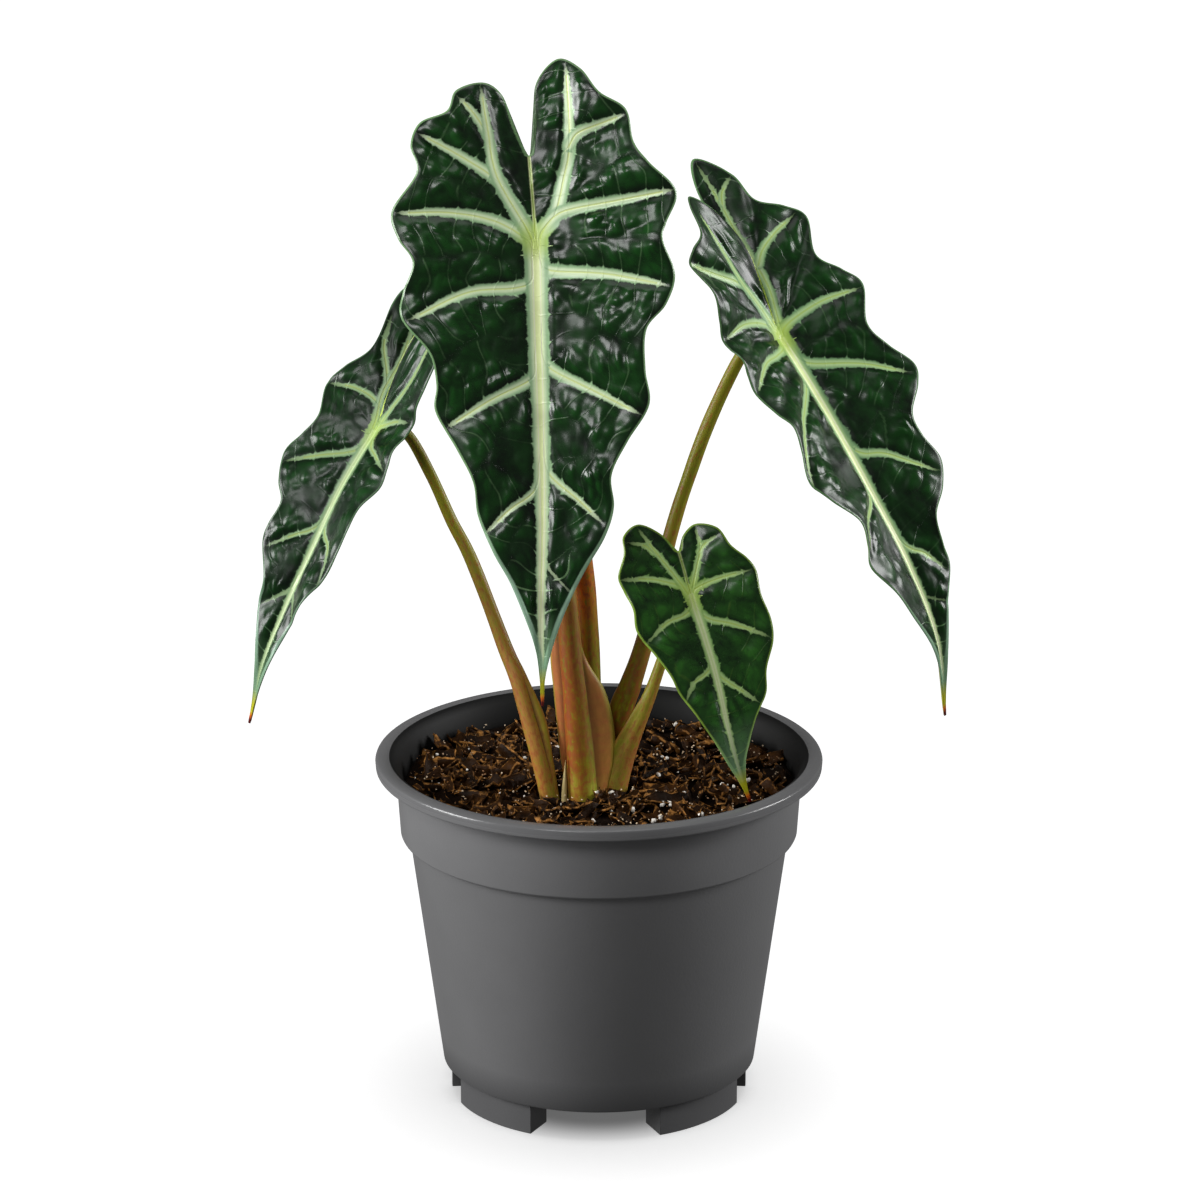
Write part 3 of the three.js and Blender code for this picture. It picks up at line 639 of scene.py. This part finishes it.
def blade_mesh(blade):
    """A blade from its outline: two quilted faces and the margin between them, with the places of
    the veins kept on it for the finish"""
    outline = blade["outline"]
    columns, fine = blade["grid"]
    rows = (len(outline) - 1) * fine
    length = outline[-1][0]
    families = [family for family, _, _ in blade["veins"]]
    veins = [vein_line(points, width, 0.5) for _, width, points in blade["veins"]]
    rib = vein_line([(0, 0), (0, length / 2), (0, length - 1)], blade["rib"], 0.8)
    margin = kdtree.KDTree(rows * 2 + 2 + 16)
    for i in range(rows + 1):
        _, right_u, right_v, left_u, left_v, _ = through(outline, i / fine)
        margin.insert((right_u, right_v, 0), i)
        margin.insert((-left_u, left_v, 0), i)
    middle, right_u, right_v, left_u, left_v, _ = outline[0]
    for i in range(8):
        margin.insert((right_u * i / 8, middle + (right_v - middle) * i / 8, 0), 0)
        margin.insert((-left_u * i / 8, middle + (left_v - middle) * i / 8, 0), 0)
    margin.balance()

    mesh = bmesh.new()
    bmesh.ops.create_grid(mesh, x_segments=columns * 2, y_segments=rows, size=1)
    bmesh.ops.solidify(mesh, geom=mesh.faces[:], thickness=0.001)
    for face in mesh.faces:
        face.material_index = 1 if all(abs(vert.co.z) > 0.0005 for vert in face.verts) else 0
    layers = [mesh.verts.layers.float_vector.new(kept)
              for kept in ("place", "vein_a", "vein_b", "cell", "form")]
    known, heights = {}, {}
    for vert in mesh.verts:
        column, row = round(vert.co.x * columns), round((vert.co.y + 1) / 2 * rows)
        if (column, row) not in known:
            side = 1 if column > 0 else -1
            share = abs(column) / columns
            middle, right_u, right_v, left_u, left_v, wave = through(outline, row / fine)
            u = share * (right_u if side > 0 else left_u)
            v = middle + share * ((right_v if side > 0 else left_v) - middle)
            spot = Vector((side * u, v, 0))
            near = [vein_at(vein, spot) for vein in veins]
            drift = noise.noise_vector(spot / 11 + Vector((0, 0, blade["step"])))
            bent = spot + drift.to_2d().to_3d() * 3.2
            lines = [vein_at(vein, bent) for vein in veins + [rib]]
            ranked = sorted((far, run, half, n) for n, (far, _, run, half) in enumerate(lines))
            far, run, half, n = ranked[0]
            gap = ranked[1][0] - far
            close = min(item[0] - item[3] for item in near + [vein_at(rib, spot)])
            edge = margin.find(spot)[2]
            cell = blade["cell"]
            lively = 0.7 + 0.6 * noise.noise(Vector((n * 3.1, 0, 0)) + spot / 9)
            q = run / cell + 0.28 * far / cell + n * 0.37 + 0.3 * noise.noise(spot / 14)
            across = abs(math.sin(math.pi * q))
            down = abs(math.sin(math.pi * ((far - half) / (cell * 1.25) + 0.31 * (math.floor(q) % 3))))
            open_side = smooth(close / 3) * (0.25 + 0.75 * smooth(gap / 5)) * smooth(edge / 4.5)
            apart = noise.voronoi(Vector((q * 1.9, far / cell * 1.5, n * 7.3)))[0]
            pillow = smooth((apart[1] - apart[0]) / 0.45)
            puff = open_side * (0.15 + 0.4 * (across * (0.4 + 0.6 * down)) ** 0.75 + 0.55 * pillow)
            relief = blade["puff"] * lively * puff - 0.4 * (1 - smooth(close / 2))
            swell = noise.noise(spot / 8) * smooth(edge / 8) * smooth((close + 0.5) / 3)
            relief += blade["puff"] * 0.4 * swell
            shown_gap = gap if 0 < run < (veins + [rib])[n][2] else 0
            marks = []
            for family in (0, 1):
                distance, signed, run_on, wide = min(
                    [item for item, kind in zip(near, families) if kind == family],
                    key=lambda item: item[0])
                marks.append((signed, run_on, wide if distance < wide + 2.2 else -6))
            crease = 0.22 if v < 0 else vein_at(rib, spot)[3]
            heights[column, row] = blade["wave"] * wave * share * share + relief
            known[column, row] = (
                side, u, v, min(near)[0], edge,
                [(side * u, v, crease), *marks, (q, shown_gap, edge), (puff, length - v, math.hypot(u, v))])
    for _ in range(2):
        heights = {(c, r): height * 0.4 + 0.15 * sum(heights.get(next_to, height) for next_to in
                                                     ((c - 1, r), (c + 1, r), (c, r - 1), (c, r + 1)))
                   for (c, r), height in heights.items()}
    for vert in mesh.verts:
        column, row = round(vert.co.x * columns), round((vert.co.y + 1) / 2 * rows)
        upper = abs(vert.co.z) < 0.0005
        height = heights[column, row]
        side, u, v, far, edge, values = known[column, row]
        thick = 0.4 * math.sqrt(smooth(edge / 0.9)) + 0.08
        if upper:
            h = height + thick
        else:
            keel = max(0, 1 - (u / 1.9) ** 2) if v > 0 else 0
            keel *= blade["keel"] * (1 - 0.8 * max(0, v) / length)
            nerve = 0.55 * max(0, 1 - (far / 1.1) ** 2) * smooth(edge / 6)
            h = height - thick - max(keel, nerve)
        vert.co = blade_point(blade, side, u, v, h) * MM
        for layer, value in zip(layers, values):
            vert[layer] = value
    bmesh.ops.recalc_face_normals(mesh, faces=mesh.faces[:])
    return mesh


def near_line(tree, distance, half, soft):
    """1 within half of a line, 0 from half + soft on"""
    far = calc(tree, "ABSOLUTE", distance)
    off = calc(tree, "SUBTRACT", far, half)
    return fade(tree, off, soft, 0, curve="SMOOTHSTEP")


def split(tree, name):
    """The three values that a blade's mesh keeps under a name"""
    parts = tree.nodes.new("ShaderNodeSeparateXYZ")
    kept = tree.nodes.new("ShaderNodeAttribute")
    kept.attribute_name = name
    tree.links.new(kept.outputs["Vector"], parts.inputs[0])
    return parts.outputs[0], parts.outputs[1], parts.outputs[2]


def feathered(tree, distance, run, half, turn):
    """A vein's band, uneven, with a small tooth wherever a finer vein leaves it"""
    along = calc(tree, "MULTIPLY", run, 0.45)
    sided = calc(tree, "MULTIPLY", distance, 0.2)
    spot = add(tree, "ShaderNodeCombineXYZ", {0: along, 1: sided})
    uneven = noisy(tree, spot, 1.0, 3, 0.55)
    uneven = fade(tree, uneven, 0.3, 0.75, -0.5, 0.35)
    tooth = fade(tree, turn, 0.07, 0, 0, 0.7)
    wide = calc(tree, "ADD", half, uneven)
    wide = calc(tree, "ADD", wide, tooth)
    soft = fade(tree, half, 0.2, 1.6, 0.35, 0.85)
    faded = fade(tree, half, 0.15, 0.8, 0.15, 1)
    shape = near_line(tree, distance, wide, soft)
    return calc(tree, "MULTIPLY", shape, faded)


def blade_finish(name, deep, green, band, edge_tint, core, rim, gloss, reach, glow, lobe):
    """The upper face: waxy dark green with pale feathered veins, a pale rim and a bright drip tip"""
    skin, tree, shader = finish(name)
    x, y, rib_half = split(tree, "place")
    q, gap, edge = split(tree, "cell")
    puff, to_tip, to_joint = split(tree, "form")
    flat = add(tree, "ShaderNodeCombineXYZ", {0: x, 1: y})
    cloud = noisy(tree, flat, 0.09, 4, 0.6)
    # Painted shade: the green is darkest in the valleys between the puffs and lightest on their tops,
    # stirred by a soft cloud.
    body = calc(tree, "MULTIPLY_ADD", puff, 0.5, cloud)
    body = fade(tree, body, 0.4, 1.0)
    tone = blend(tree, body, deep, green)

    turn = calc(tree, "PINGPONG", q, 0.5)
    fine = near_line(tree, turn, 0.008, 0.05)
    faint = fade(tree, cloud, 0.4, 0.62, 0.02, 0.26 * reach)
    near_tip = fade(tree, to_tip, 62 * reach, 44 * reach, 0, 0.5)
    faint = calc(tree, "ADD", faint, near_tip)
    clear = fade(tree, gap, 0.3, 2.5)
    fine = calc(tree, "MULTIPLY", fine, clear)
    fine_show = calc(tree, "MULTIPLY", fine, faint)
    tone = blend(tree, fine_show, tone, rim)

    ridge, bands = None, None
    for family in ("vein_a", "vein_b"):
        distance, run, half = split(tree, family)
        inner = calc(tree, "MULTIPLY", half, 0.3)
        pale = blend(tree, near_line(tree, distance, inner, 1.4), edge_tint, band)
        vein = feathered(tree, distance, run, half, turn)
        tone = blend(tree, vein, tone, pale)
        line = near_line(tree, distance, 0.1, 0.4)
        shown = calc(tree, "GREATER_THAN", half, 0.7)
        line = calc(tree, "MULTIPLY", line, shown)
        tone = blend(tree, calc(tree, "MULTIPLY", line, 0.75), tone, core)
        ridge = line if ridge is None else calc(tree, "MAXIMUM", ridge, line)
        bands = vein if bands is None else calc(tree, "MAXIMUM", bands, vein)
    rib = feathered(tree, x, y, rib_half, turn)
    bands = calc(tree, "MAXIMUM", bands, rib)
    inner = calc(tree, "MULTIPLY", rib_half, 0.5)
    tone = blend(tree, rib, tone, blend(tree, near_line(tree, x, inner, 1.6), edge_tint, band))
    half_core = calc(tree, "MULTIPLY", rib_half, 0.34)
    middle = near_line(tree, x, half_core, 0.8)
    middle_show = calc(tree, "MULTIPLY", middle, glow)
    tone = blend(tree, middle_show, tone, colour(238, 250, 180))
    # Painted highlights: two bright lines along the ridges at the midrib's sides, from the joint to the tip.
    off_middle = calc(tree, "ABSOLUTE", x)
    off_middle = calc(tree, "SUBTRACT", off_middle, half_core)
    pair = near_line(tree, off_middle, 0.08, 0.3)
    below = calc(tree, "GREATER_THAN", y, 0.0)
    pair = calc(tree, "MULTIPLY", pair, below)
    tone = blend(tree, calc(tree, "MULTIPLY", pair, glow), tone,
                 colour(240, 246, 214))
    crease = near_line(tree, x, 0.06, 0.28)
    above = calc(tree, "LESS_THAN", y, 0.0)
    crease = calc(tree, "MULTIPLY", crease, above)
    tone = blend(tree, crease, tone, colour(120, 150, 44))
    joint = fade(tree, to_joint, 10, 2, 0, 0.25 + 0.5 * glow, curve="SMOOTHSTEP")
    joint = calc(tree, "MULTIPLY", joint, bands)
    tone = blend(tree, joint, tone, colour(176, 204, 72))

    broad = fade(tree, to_tip, 76 * reach, 30 * reach, 0.35, 0.4 + 1.2 * reach)
    hem = near_line(tree, edge, broad, 0.6)
    paler = fade(tree, to_tip, 76 * reach, 40 * reach, 0, 0.75 * reach)
    border = blend(tree, paler, rim, colour(160, 194, 172))
    tone = blend(tree, calc(tree, "MULTIPLY", hem, 0.85), tone, border)
    inside = calc(tree, "MULTIPLY", x, lobe)
    inside = calc(tree, "GREATER_THAN", inside, 0.1)
    cleft = fade(tree, x, 15 * lobe, 10 * lobe)
    cleft = calc(tree, "MULTIPLY", inside, cleft)
    cleft = calc(tree, "MULTIPLY", cleft, above)
    cleft = calc(tree, "MULTIPLY", cleft, near_line(tree, edge, 0.35, 0.35))
    tone = blend(tree, cleft, tone, colour(186, 206, 84))
    for start, end, share, tint in ((34, 12, 0.7, colour(104, 140, 100)), (14, 8, 1, colour(172, 170, 30)),
                                    (5, 3, 1, colour(200, 96, 20)), (3, 1.5, 1, colour(86, 18, 12))):
        part = fade(tree, to_tip, start, end, 0, share)
        tone = blend(tree, part, tone, tint)
    coat(tree, shader, tone, specular=0.44 if gloss < 0.25 else 0.34)

    dull = fade(tree, cloud, 0.3, 0.7, gloss, gloss + 0.1)
    tree.links.new(dull, shader.inputs["Roughness"])
    raised = calc(tree, "MULTIPLY", ridge, 0.1)
    sunk = calc(tree, "MULTIPLY_ADD", fine, -0.06, raised)
    roughen(tree, shader, sunk, 0.8, 0.001)
    return skin


def under_finish(name, dark, light, band):
    """The lower face: dull purple-green with paler ribs"""
    skin, tree, shader = finish(name)
    x, y, rib_half = split(tree, "place")
    q, _, edge = split(tree, "cell")
    flat = add(tree, "ShaderNodeCombineXYZ", {0: x, 1: y})
    cloud = noisy(tree, flat, 0.1, 5, 0.65)
    cloud = fade(tree, cloud, 0.35, 0.65)
    tone = blend(tree, cloud, dark, light)
    turn = calc(tree, "PINGPONG", q, 0.5)
    fine = near_line(tree, turn, 0.02, 0.05)
    tone = blend(tree, calc(tree, "MULTIPLY", fine, 0.35), tone, band)
    height = calc(tree, "MULTIPLY", fine, 0.15)
    for family in ("vein_a", "vein_b"):
        distance, run, half = split(tree, family)
        slim = calc(tree, "MULTIPLY", half, 0.45)
        tone = blend(tree, near_line(tree, distance, slim, 0.6), tone, band)
    slim = calc(tree, "MULTIPLY", rib_half, 0.45)
    tone = blend(tree, near_line(tree, x, slim, 0.8), tone, band)
    tone = blend(tree, near_line(tree, edge, 0.5, 0.5), tone, band)
    coat(tree, shader, tone, 0.55)
    roughen(tree, shader, height, 0.8, 0.001)
    return skin


blades = {
    # step, across, fold and lift place the blade along its knots. An outline row gives the middle
    # line, then both margins, then the wave. A vein has a family, a half width and its points.
    "leaf_main": {
        "step": 33.2, "across": [1, -0.01, -0.03], "fold": 9, "lift": [0, 0], "wave": 2,
        "grid": (46, 11), "cell": 7.5, "puff": 2.2, "keel": 1.3, "rib": 3.99,
        "knots": [
            [-28, 2.5, 393], [-25, -10.5, 362.5], [-22.5, -23, 332], [-21.5, -34.5, 301],
            [-20.5, -45, 269.5], [-20, -54.5, 237.5], [-20.5, -62, 205], [-20, -67.5, 172.5],
        ],
        "outline": [
            [-30, 1.2, -30.5, 1.2, -30.5, 0], [-29, 3, -41, 4.8, -41, 0.3], [-27, 4.6, -55, 7.6, -52, 0],
            [-24, 13, -63.5, 14, -57.5, -1], [-20, 21, -59, 24, -55, 0], [-16.5, 27, -49.5, 28, -47.5, 1],
            [-13, 36, -43, 38, -44.5, -1], [-10, 37.7, -31, 42, -36, 0], [-7, 42.5, -22.8, 40.6, -26, 1],
            [-4, 51.5, -12.5, 50.5, -13, -1], [0, 47, -2, 49, -2, 0], [4, 45.6, 3.5, 44, 8, 1],
            [10, 49.5, 14.5, 48, 19, -1], [17, 46, 25, 48.5, 28, -0.3], [25, 38.8, 34, 39, 40, 1],
            [35, 38, 48, 36.8, 51, 0.3], [45, 39, 60, 37.5, 60.5, -1], [57, 31, 72.5, 30, 74.5, 0],
            [69, 25, 84, 24.5, 86, 1], [81, 25.7, 95, 23, 98, -1], [92, 22.5, 105, 17.5, 111, 0],
            [105, 15.5, 117, 11, 122, 0], [120, 9, 131, 5, 136, 0], [136, 4, 145, 2, 146, 0],
            [150, 1.2, 156, 0.9, 155.5, 0], [166, 0.5, 166, 0.5, 166, 0],
        ],
        "veins": [
            (0, 2.79, [(1.2, 4), (2.2, -2), (7.5, -8), (11.5, -20), (14.8, -33), (16, -60)]),
            (1, 1.77, [(14.6, -32), (18, -36), (26, -38.5), (35, -41)]),
            (1, 2.33, [(1.3, 3), (2.4, -2), (7.5, -7.5), (14, -9.5), (30, -11), (50, -13)]),
            (0, 2.42, [(1.3, 2), (1.8, 8), (5, 11.5), (25, 13.5), (46, 18)]),
            (1, 2.14, [(1.3, 34), (1.7, 42), (5, 47), (20, 55), (35, 63)]),
            (0, 1.58, [(1.1, 73), (1.5, 80), (4, 85), (13, 92.5), (21, 100)]),
            (1, 0.42, [(0.8, 108), (1.2, 113), (3, 117), (10, 124)]),
            (1, 2.79, [(-1.2, 4), (-2, -2), (-12, -23), (-14, -41), (-15, -55)]),
            (0, 1.67, [(-14, -38), (-17, -44), (-20, -48.5), (-23, -52)]),
            (0, 2.05, [(-11, -21), (-17, -26), (-27, -33), (-38, -40)]),
            (0, 2.33, [(-1.3, 3), (-3, 0), (-14, -7), (-30, -11), (-48, -12)]),
            (1, 2.33, [(-1.3, 8), (-2, 15), (-8, 17.5), (-25, 19), (-45, 28)]),
            (0, 2.14, [(-1.3, 41), (-1.7, 48), (-5, 51), (-18, 57), (-33, 66)]),
            (1, 1.4, [(-1, 80), (-1.4, 86), (-4, 90.5), (-12, 96), (-20, 104)]),
        ],
    },
    "leaf_right": {
        "step": 31, "across": [0.65, 0.74, 0.19], "fold": 20, "lift": [0, 0.33], "wave": 2,
        "grid": (42, 11), "cell": 7, "puff": 1.9, "keel": 1.3, "rib": 2.95,
        "knots": [
            [33.5, 24, 337], [49.5, 12, 313], [65.5, 0, 289.5], [81.5, -11.5, 265.5], [96.5, -22, 240.5],
            [111, -28, 213.5], [122, -29.5, 185], [126, -25, 154.5],
        ],
        "outline": [
            [-5, 0.8, -6, 0.8, -6, 0], [-4.6, 3, -22, 0.8, -20, 0.3], [-4.2, 3.5, -42, 3, -34, 0.3],
            [-3.8, 2, -60, 15, -48, 0], [-3.4, 9, -73.5, 26, -55, -1], [-3, 17.5, -62, 31.5, -51, 0],
            [-2.6, 18.6, -49.5, 33, -41, 1], [-2.2, 29, -43, 39, -37, -0.3],
            [-1.8, 35.5, -35.5, 42.5, -32, -1], [-1.4, 27.7, -21, 38.5, -20, 1],
            [-0.8, 34.8, -12, 38.8, -11, 0], [0, 40.2, -3.5, 39, -4.5, -1], [3, 30.5, 10.5, 37.5, 4, 1],
            [6, 34.5, 20.5, 37.5, 10, 0], [10, 41, 30.5, 37, 17, -1], [17, 36.8, 37.5, 34, 26.5, 0],
            [25, 27.8, 46, 31, 33.5, 1], [33, 28.5, 54.5, 32, 42.5, 0], [42, 32, 66, 35.5, 52.5, -1],
            [52, 26, 75.5, 31, 60.3, 0], [61, 17, 83, 21.5, 70.5, 1], [70, 16, 93, 22.5, 79, 0],
            [80, 16.5, 101.5, 25.2, 86, -1], [93, 9.5, 111.5, 18, 98.5, 0], [107, 6, 121, 13, 110, 0],
            [122, 3.3, 131, 5.5, 125, 0], [139, 1.5, 143, 1.2, 141, 0], [155, 0.5, 155, 0.5, 155, 0],
        ],
        "veins": [
            (0, 1.56, [(1, 2), (2.5, -5), (6.5, -20), (7.3, -41), (8.5, -56), (9, -70)]),
            (1, 1.48, [(8, -28), (12, -32), (20, -35.5), (30, -38)]),
            (1, 0.9, [(9, -54), (11, -57.5), (16, -61)]),
            (1, 1.89, [(1.2, 2), (2.2, -2), (8, -4), (22, -5), (37, -3)]),
            (0, 1.97, [(1.2, 4), (1.8, 10), (6, 14), (22, 22), (36, 32)]),
            (1, 1.64, [(1.1, 40), (1.6, 47), (5, 51), (13, 55), (27, 69)]),
            (0, 1.23, [(0.8, 78), (1.2, 85), (4, 89.5), (8, 93), (13, 101)]),
            (1, 0.33, [(0.6, 102), (1.2, 107), (8, 112)]),
            (1, 2.79, [(-1, 2), (-3, -5), (-8, -14), (-14, -22), (-18, -32), (-25, -48)]),
            (0, 1.64, [(-14, -21), (-22, -24), (-32, -28), (-43, -33)]),
            (0, 1.64, [(-1.2, 1), (-3, -3.5), (-10, -6.5), (-23, -7.5), (-36, -5)]),
            (1, 1.64, [(-1.2, -1), (-3, 4), (-10, 6), (-21, 8), (-34, 16)]),
            (0, 1.39, [(-1.1, 11), (-1.6, 18), (-6, 22.5), (-14, 28), (-21, 33), (-30, 45), (-35, 55)]),
            (1, 0.98, [(-0.9, 56), (-1.4, 63), (-5, 68), (-15, 73), (-21, 81)]),
        ],
    },
    "leaf_left": {
        "step": 23.85, "across": [0.67, -0.71, -0.21], "fold": 20, "lift": [0.4, 0], "wave": 1.5,
        "grid": (36, 11), "cell": 6, "puff": 1.7, "keel": 1.1, "rib": 2.03,
        "knots": [
            [-56.5, 20, 290.5], [-69, 9, 273], [-81, -0.5, 255], [-93, -9.5, 236.5], [-103, -17.5, 216.5],
            [-113, -22.5, 195.5], [-122, -24.5, 173.5], [-127.5, -22.5, 150.5],
        ],
        "outline": [
            [-5, 0.8, -6, 0.8, -6, 0], [-4.5, 1.5, -18, 1.5, -22, 0], [-4, 6, -34, 2, -42, 0.3],
            [-3.5, 14, -47, 6, -55, -0.5], [-3.1, 20, -50, 12, -58.5, -1], [-2.8, 26, -43, 18.5, -54, 0],
            [-2.4, 28.5, -33, 19.5, -45, 1], [-2, 26.5, -19, 16.8, -27, 1],
            [-1.2, 23.3, -11.5, 23, -16, 0], [0, 23.3, -6, 26.5, -7, -1], [3, 21, 4.5, 21, 5, 1],
            [7, 22, 11.5, 23.5, 13.5, 0], [12, 23, 19.5, 27, 21.5, -1], [19, 19.5, 29.5, 22.5, 31, 0.4],
            [26, 19.8, 38, 17.8, 37.5, 1], [34, 17.5, 46, 20, 47, -0.3], [42, 15.5, 56, 19.8, 54.5, -1],
            [52, 11.5, 67.5, 11.5, 66, 1], [63, 7.3, 79, 11.3, 75, -0.7], [75, 6, 91, 6, 86.5, 0.3],
            [90, 3, 103, 2.8, 97, 0], [105, 1.2, 112, 1, 108, 0], [119, 0.5, 119, 0.5, 119, 0],
        ],
        "veins": [
            (0, 1.35, [(0.8, 2), (2, -2), (6, -8), (14, -19), (17, -30), (18, -42)]),
            (1, 1.12, [(0.8, 1), (2, -1.5), (6, -3), (12, -5), (19, -6)]),
            (0, 1.12, [(0.8, -1), (1.5, 3), (4, 6.5), (10, 9), (19, 13)]),
            (1, 0.98, [(0.8, 33), (1.3, 39), (4, 42.5), (10, 47), (14, 59)]),
            (0, 0.6, [(0.6, 61), (1, 66), (4, 70), (9, 77)]),
            (1, 1.35, [(-0.8, 2), (-2, -4), (-5, -14), (-6, -28), (-10, -44)]),
            (0, 0.98, [(-5.5, -18), (-9, -23), (-14, -30), (-17, -40)]),
            (0, 1.27, [(-0.8, -4), (-2, -8), (-8, -10.5), (-16, -10.5), (-25, -8)]),
            (1, 1.35, [(-0.8, 2), (-1.4, 8), (-5, 12), (-13, 17), (-24, 24)]),
            (0, 1.05, [(-0.8, 33), (-1.3, 39), (-4, 43), (-9, 47), (-17, 55)]),
            (1, 0.68, [(-0.6, 60), (-1, 65), (-4, 69), (-9.5, 75)]),
        ],
    },
    "leaf_small": {
        "step": 16.15, "across": [0.95, 0.27, 0.16], "fold": 7, "lift": [0, 0], "wave": 0.9,
        "grid": (32, 10), "cell": 6.5, "puff": 0.95, "keel": 0.9, "rib": 1.9,
        "knots": [
            [24, -18, 231], [28.5, -24.5, 217], [33, -30, 202.5], [38, -33.5, 187.5], [42.5, -36.5, 172.5],
            [46, -38.5, 157], [50, -39.5, 141], [55, -39, 126],
        ],
        "outline": [
            [-16, 1, -16.5, 1, -16.5, 0], [-15.3, 3.2, -21, 4.5, -23.5, 0], [-14, 9, -24, 11.5, -29, -1],
            [-12, 16, -20.5, 18.5, -26, 0], [-9.5, 18.8, -13, 20.6, -19.5, 1],
            [-7, 23.5, -7, 24.6, -12.5, -0.5], [-4, 25.5, -1, 24, -6.5, -1], [1, 24.1, 8.5, 23, -0.5, 1],
            [6, 25.2, 17.5, 23.8, 6.5, -1], [12, 23.5, 25, 20.5, 16, 0], [19, 18.2, 33.5, 17, 26, 1],
            [26, 16.5, 42, 15, 34.5, -1], [34, 10.5, 50.3, 10.5, 44.5, 0.5], [43, 6.5, 58, 6.7, 53.5, 0],
            [53, 3, 65.5, 4, 62, 0], [66, 1, 74, 1.3, 72.5, 0], [80.8, 0.5, 80.8, 0.5, 80.8, 0],
        ],
        "veins": [
            (0, 1.3, [(0.5, 2), (1.5, -2), (5, -9), (8, -15), (8.5, -22)]),
            (1, 0.8, [(7.5, -14), (10, -16), (15, -17.5)]),
            (1, 1.3, [(0.6, 2), (1.6, -0.8), (6, -2), (14, -2.5), (23, -2)]),
            (0, 1.3, [(0.6, 2), (1, 7), (4, 11), (12, 15.5), (22, 23)]),
            (1, 1.1, [(0.6, 25), (1, 31), (4, 35), (8, 39), (13, 44.5)]),
            (1, 1.3, [(-0.5, 2), (-1.5, -2), (-4, -8), (-9, -19), (-12, -27)]),
            (0, 0.8, [(-9.5, -18), (-12, -21), (-17, -23)]),
            (0, 1.2, [(-0.6, 1), (-2, -3), (-7, -6), (-14, -9), (-24, -11)]),
            (1, 1.1, [(-0.6, 0), (-1, 4.5), (-5, 6.5), (-12, 7), (-21, 11)]),
            (0, 1.0, [(-0.6, 21), (-1, 27), (-4, 29.5), (-9, 31.5), (-13, 37)]),
        ],
    },
}
green_top = blade_finish(
    "blade_green", colour(2, 14, 3), colour(14, 62, 13), colour(214, 234, 190), colour(150, 186, 140),
    colour(208, 222, 130), colour(116, 152, 104), 0.22, 1, 0.9, 0)
right_top = blade_finish(
    "right_blade_green", colour(2, 14, 3), colour(14, 62, 13), colour(174, 204, 144),
    colour(118, 158, 110), colour(166, 192, 94), colour(100, 140, 90), 0.26, 0.8, 0.9, -1)
# Painted shade: this copy of the blade finish has its veins, midrib and joint painted dimmer than the front
# blade's.
left_top_shaded = blade_finish(
    "left_blade_green_shaded", colour(2, 14, 3), colour(12, 54, 13), colour(138, 164, 118),
    colour(96, 128, 92), colour(140, 156, 80), colour(84, 116, 80), 0.27, 0.8, 0.2, 1)
small_top = blade_finish(
    "young_blade_green", colour(5, 30, 5), colour(44, 100, 28), colour(184, 216, 142),
    colour(122, 170, 92), colour(176, 204, 98), colour(136, 170, 66), 0.23, 0.4, 0.5, 0)
purple_under = under_finish(
    "blade_underside", colour(86, 54, 56), colour(94, 98, 66), colour(156, 162, 104))
for name, blade in blades.items():
    top = {"leaf_main": green_top, "leaf_right": right_top, "leaf_left": left_top_shaded}.get(name, small_top)
    leaf = piece(name.replace("leaf", "blade"), blade_mesh(blade), [top, purple_under])
    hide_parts(name)
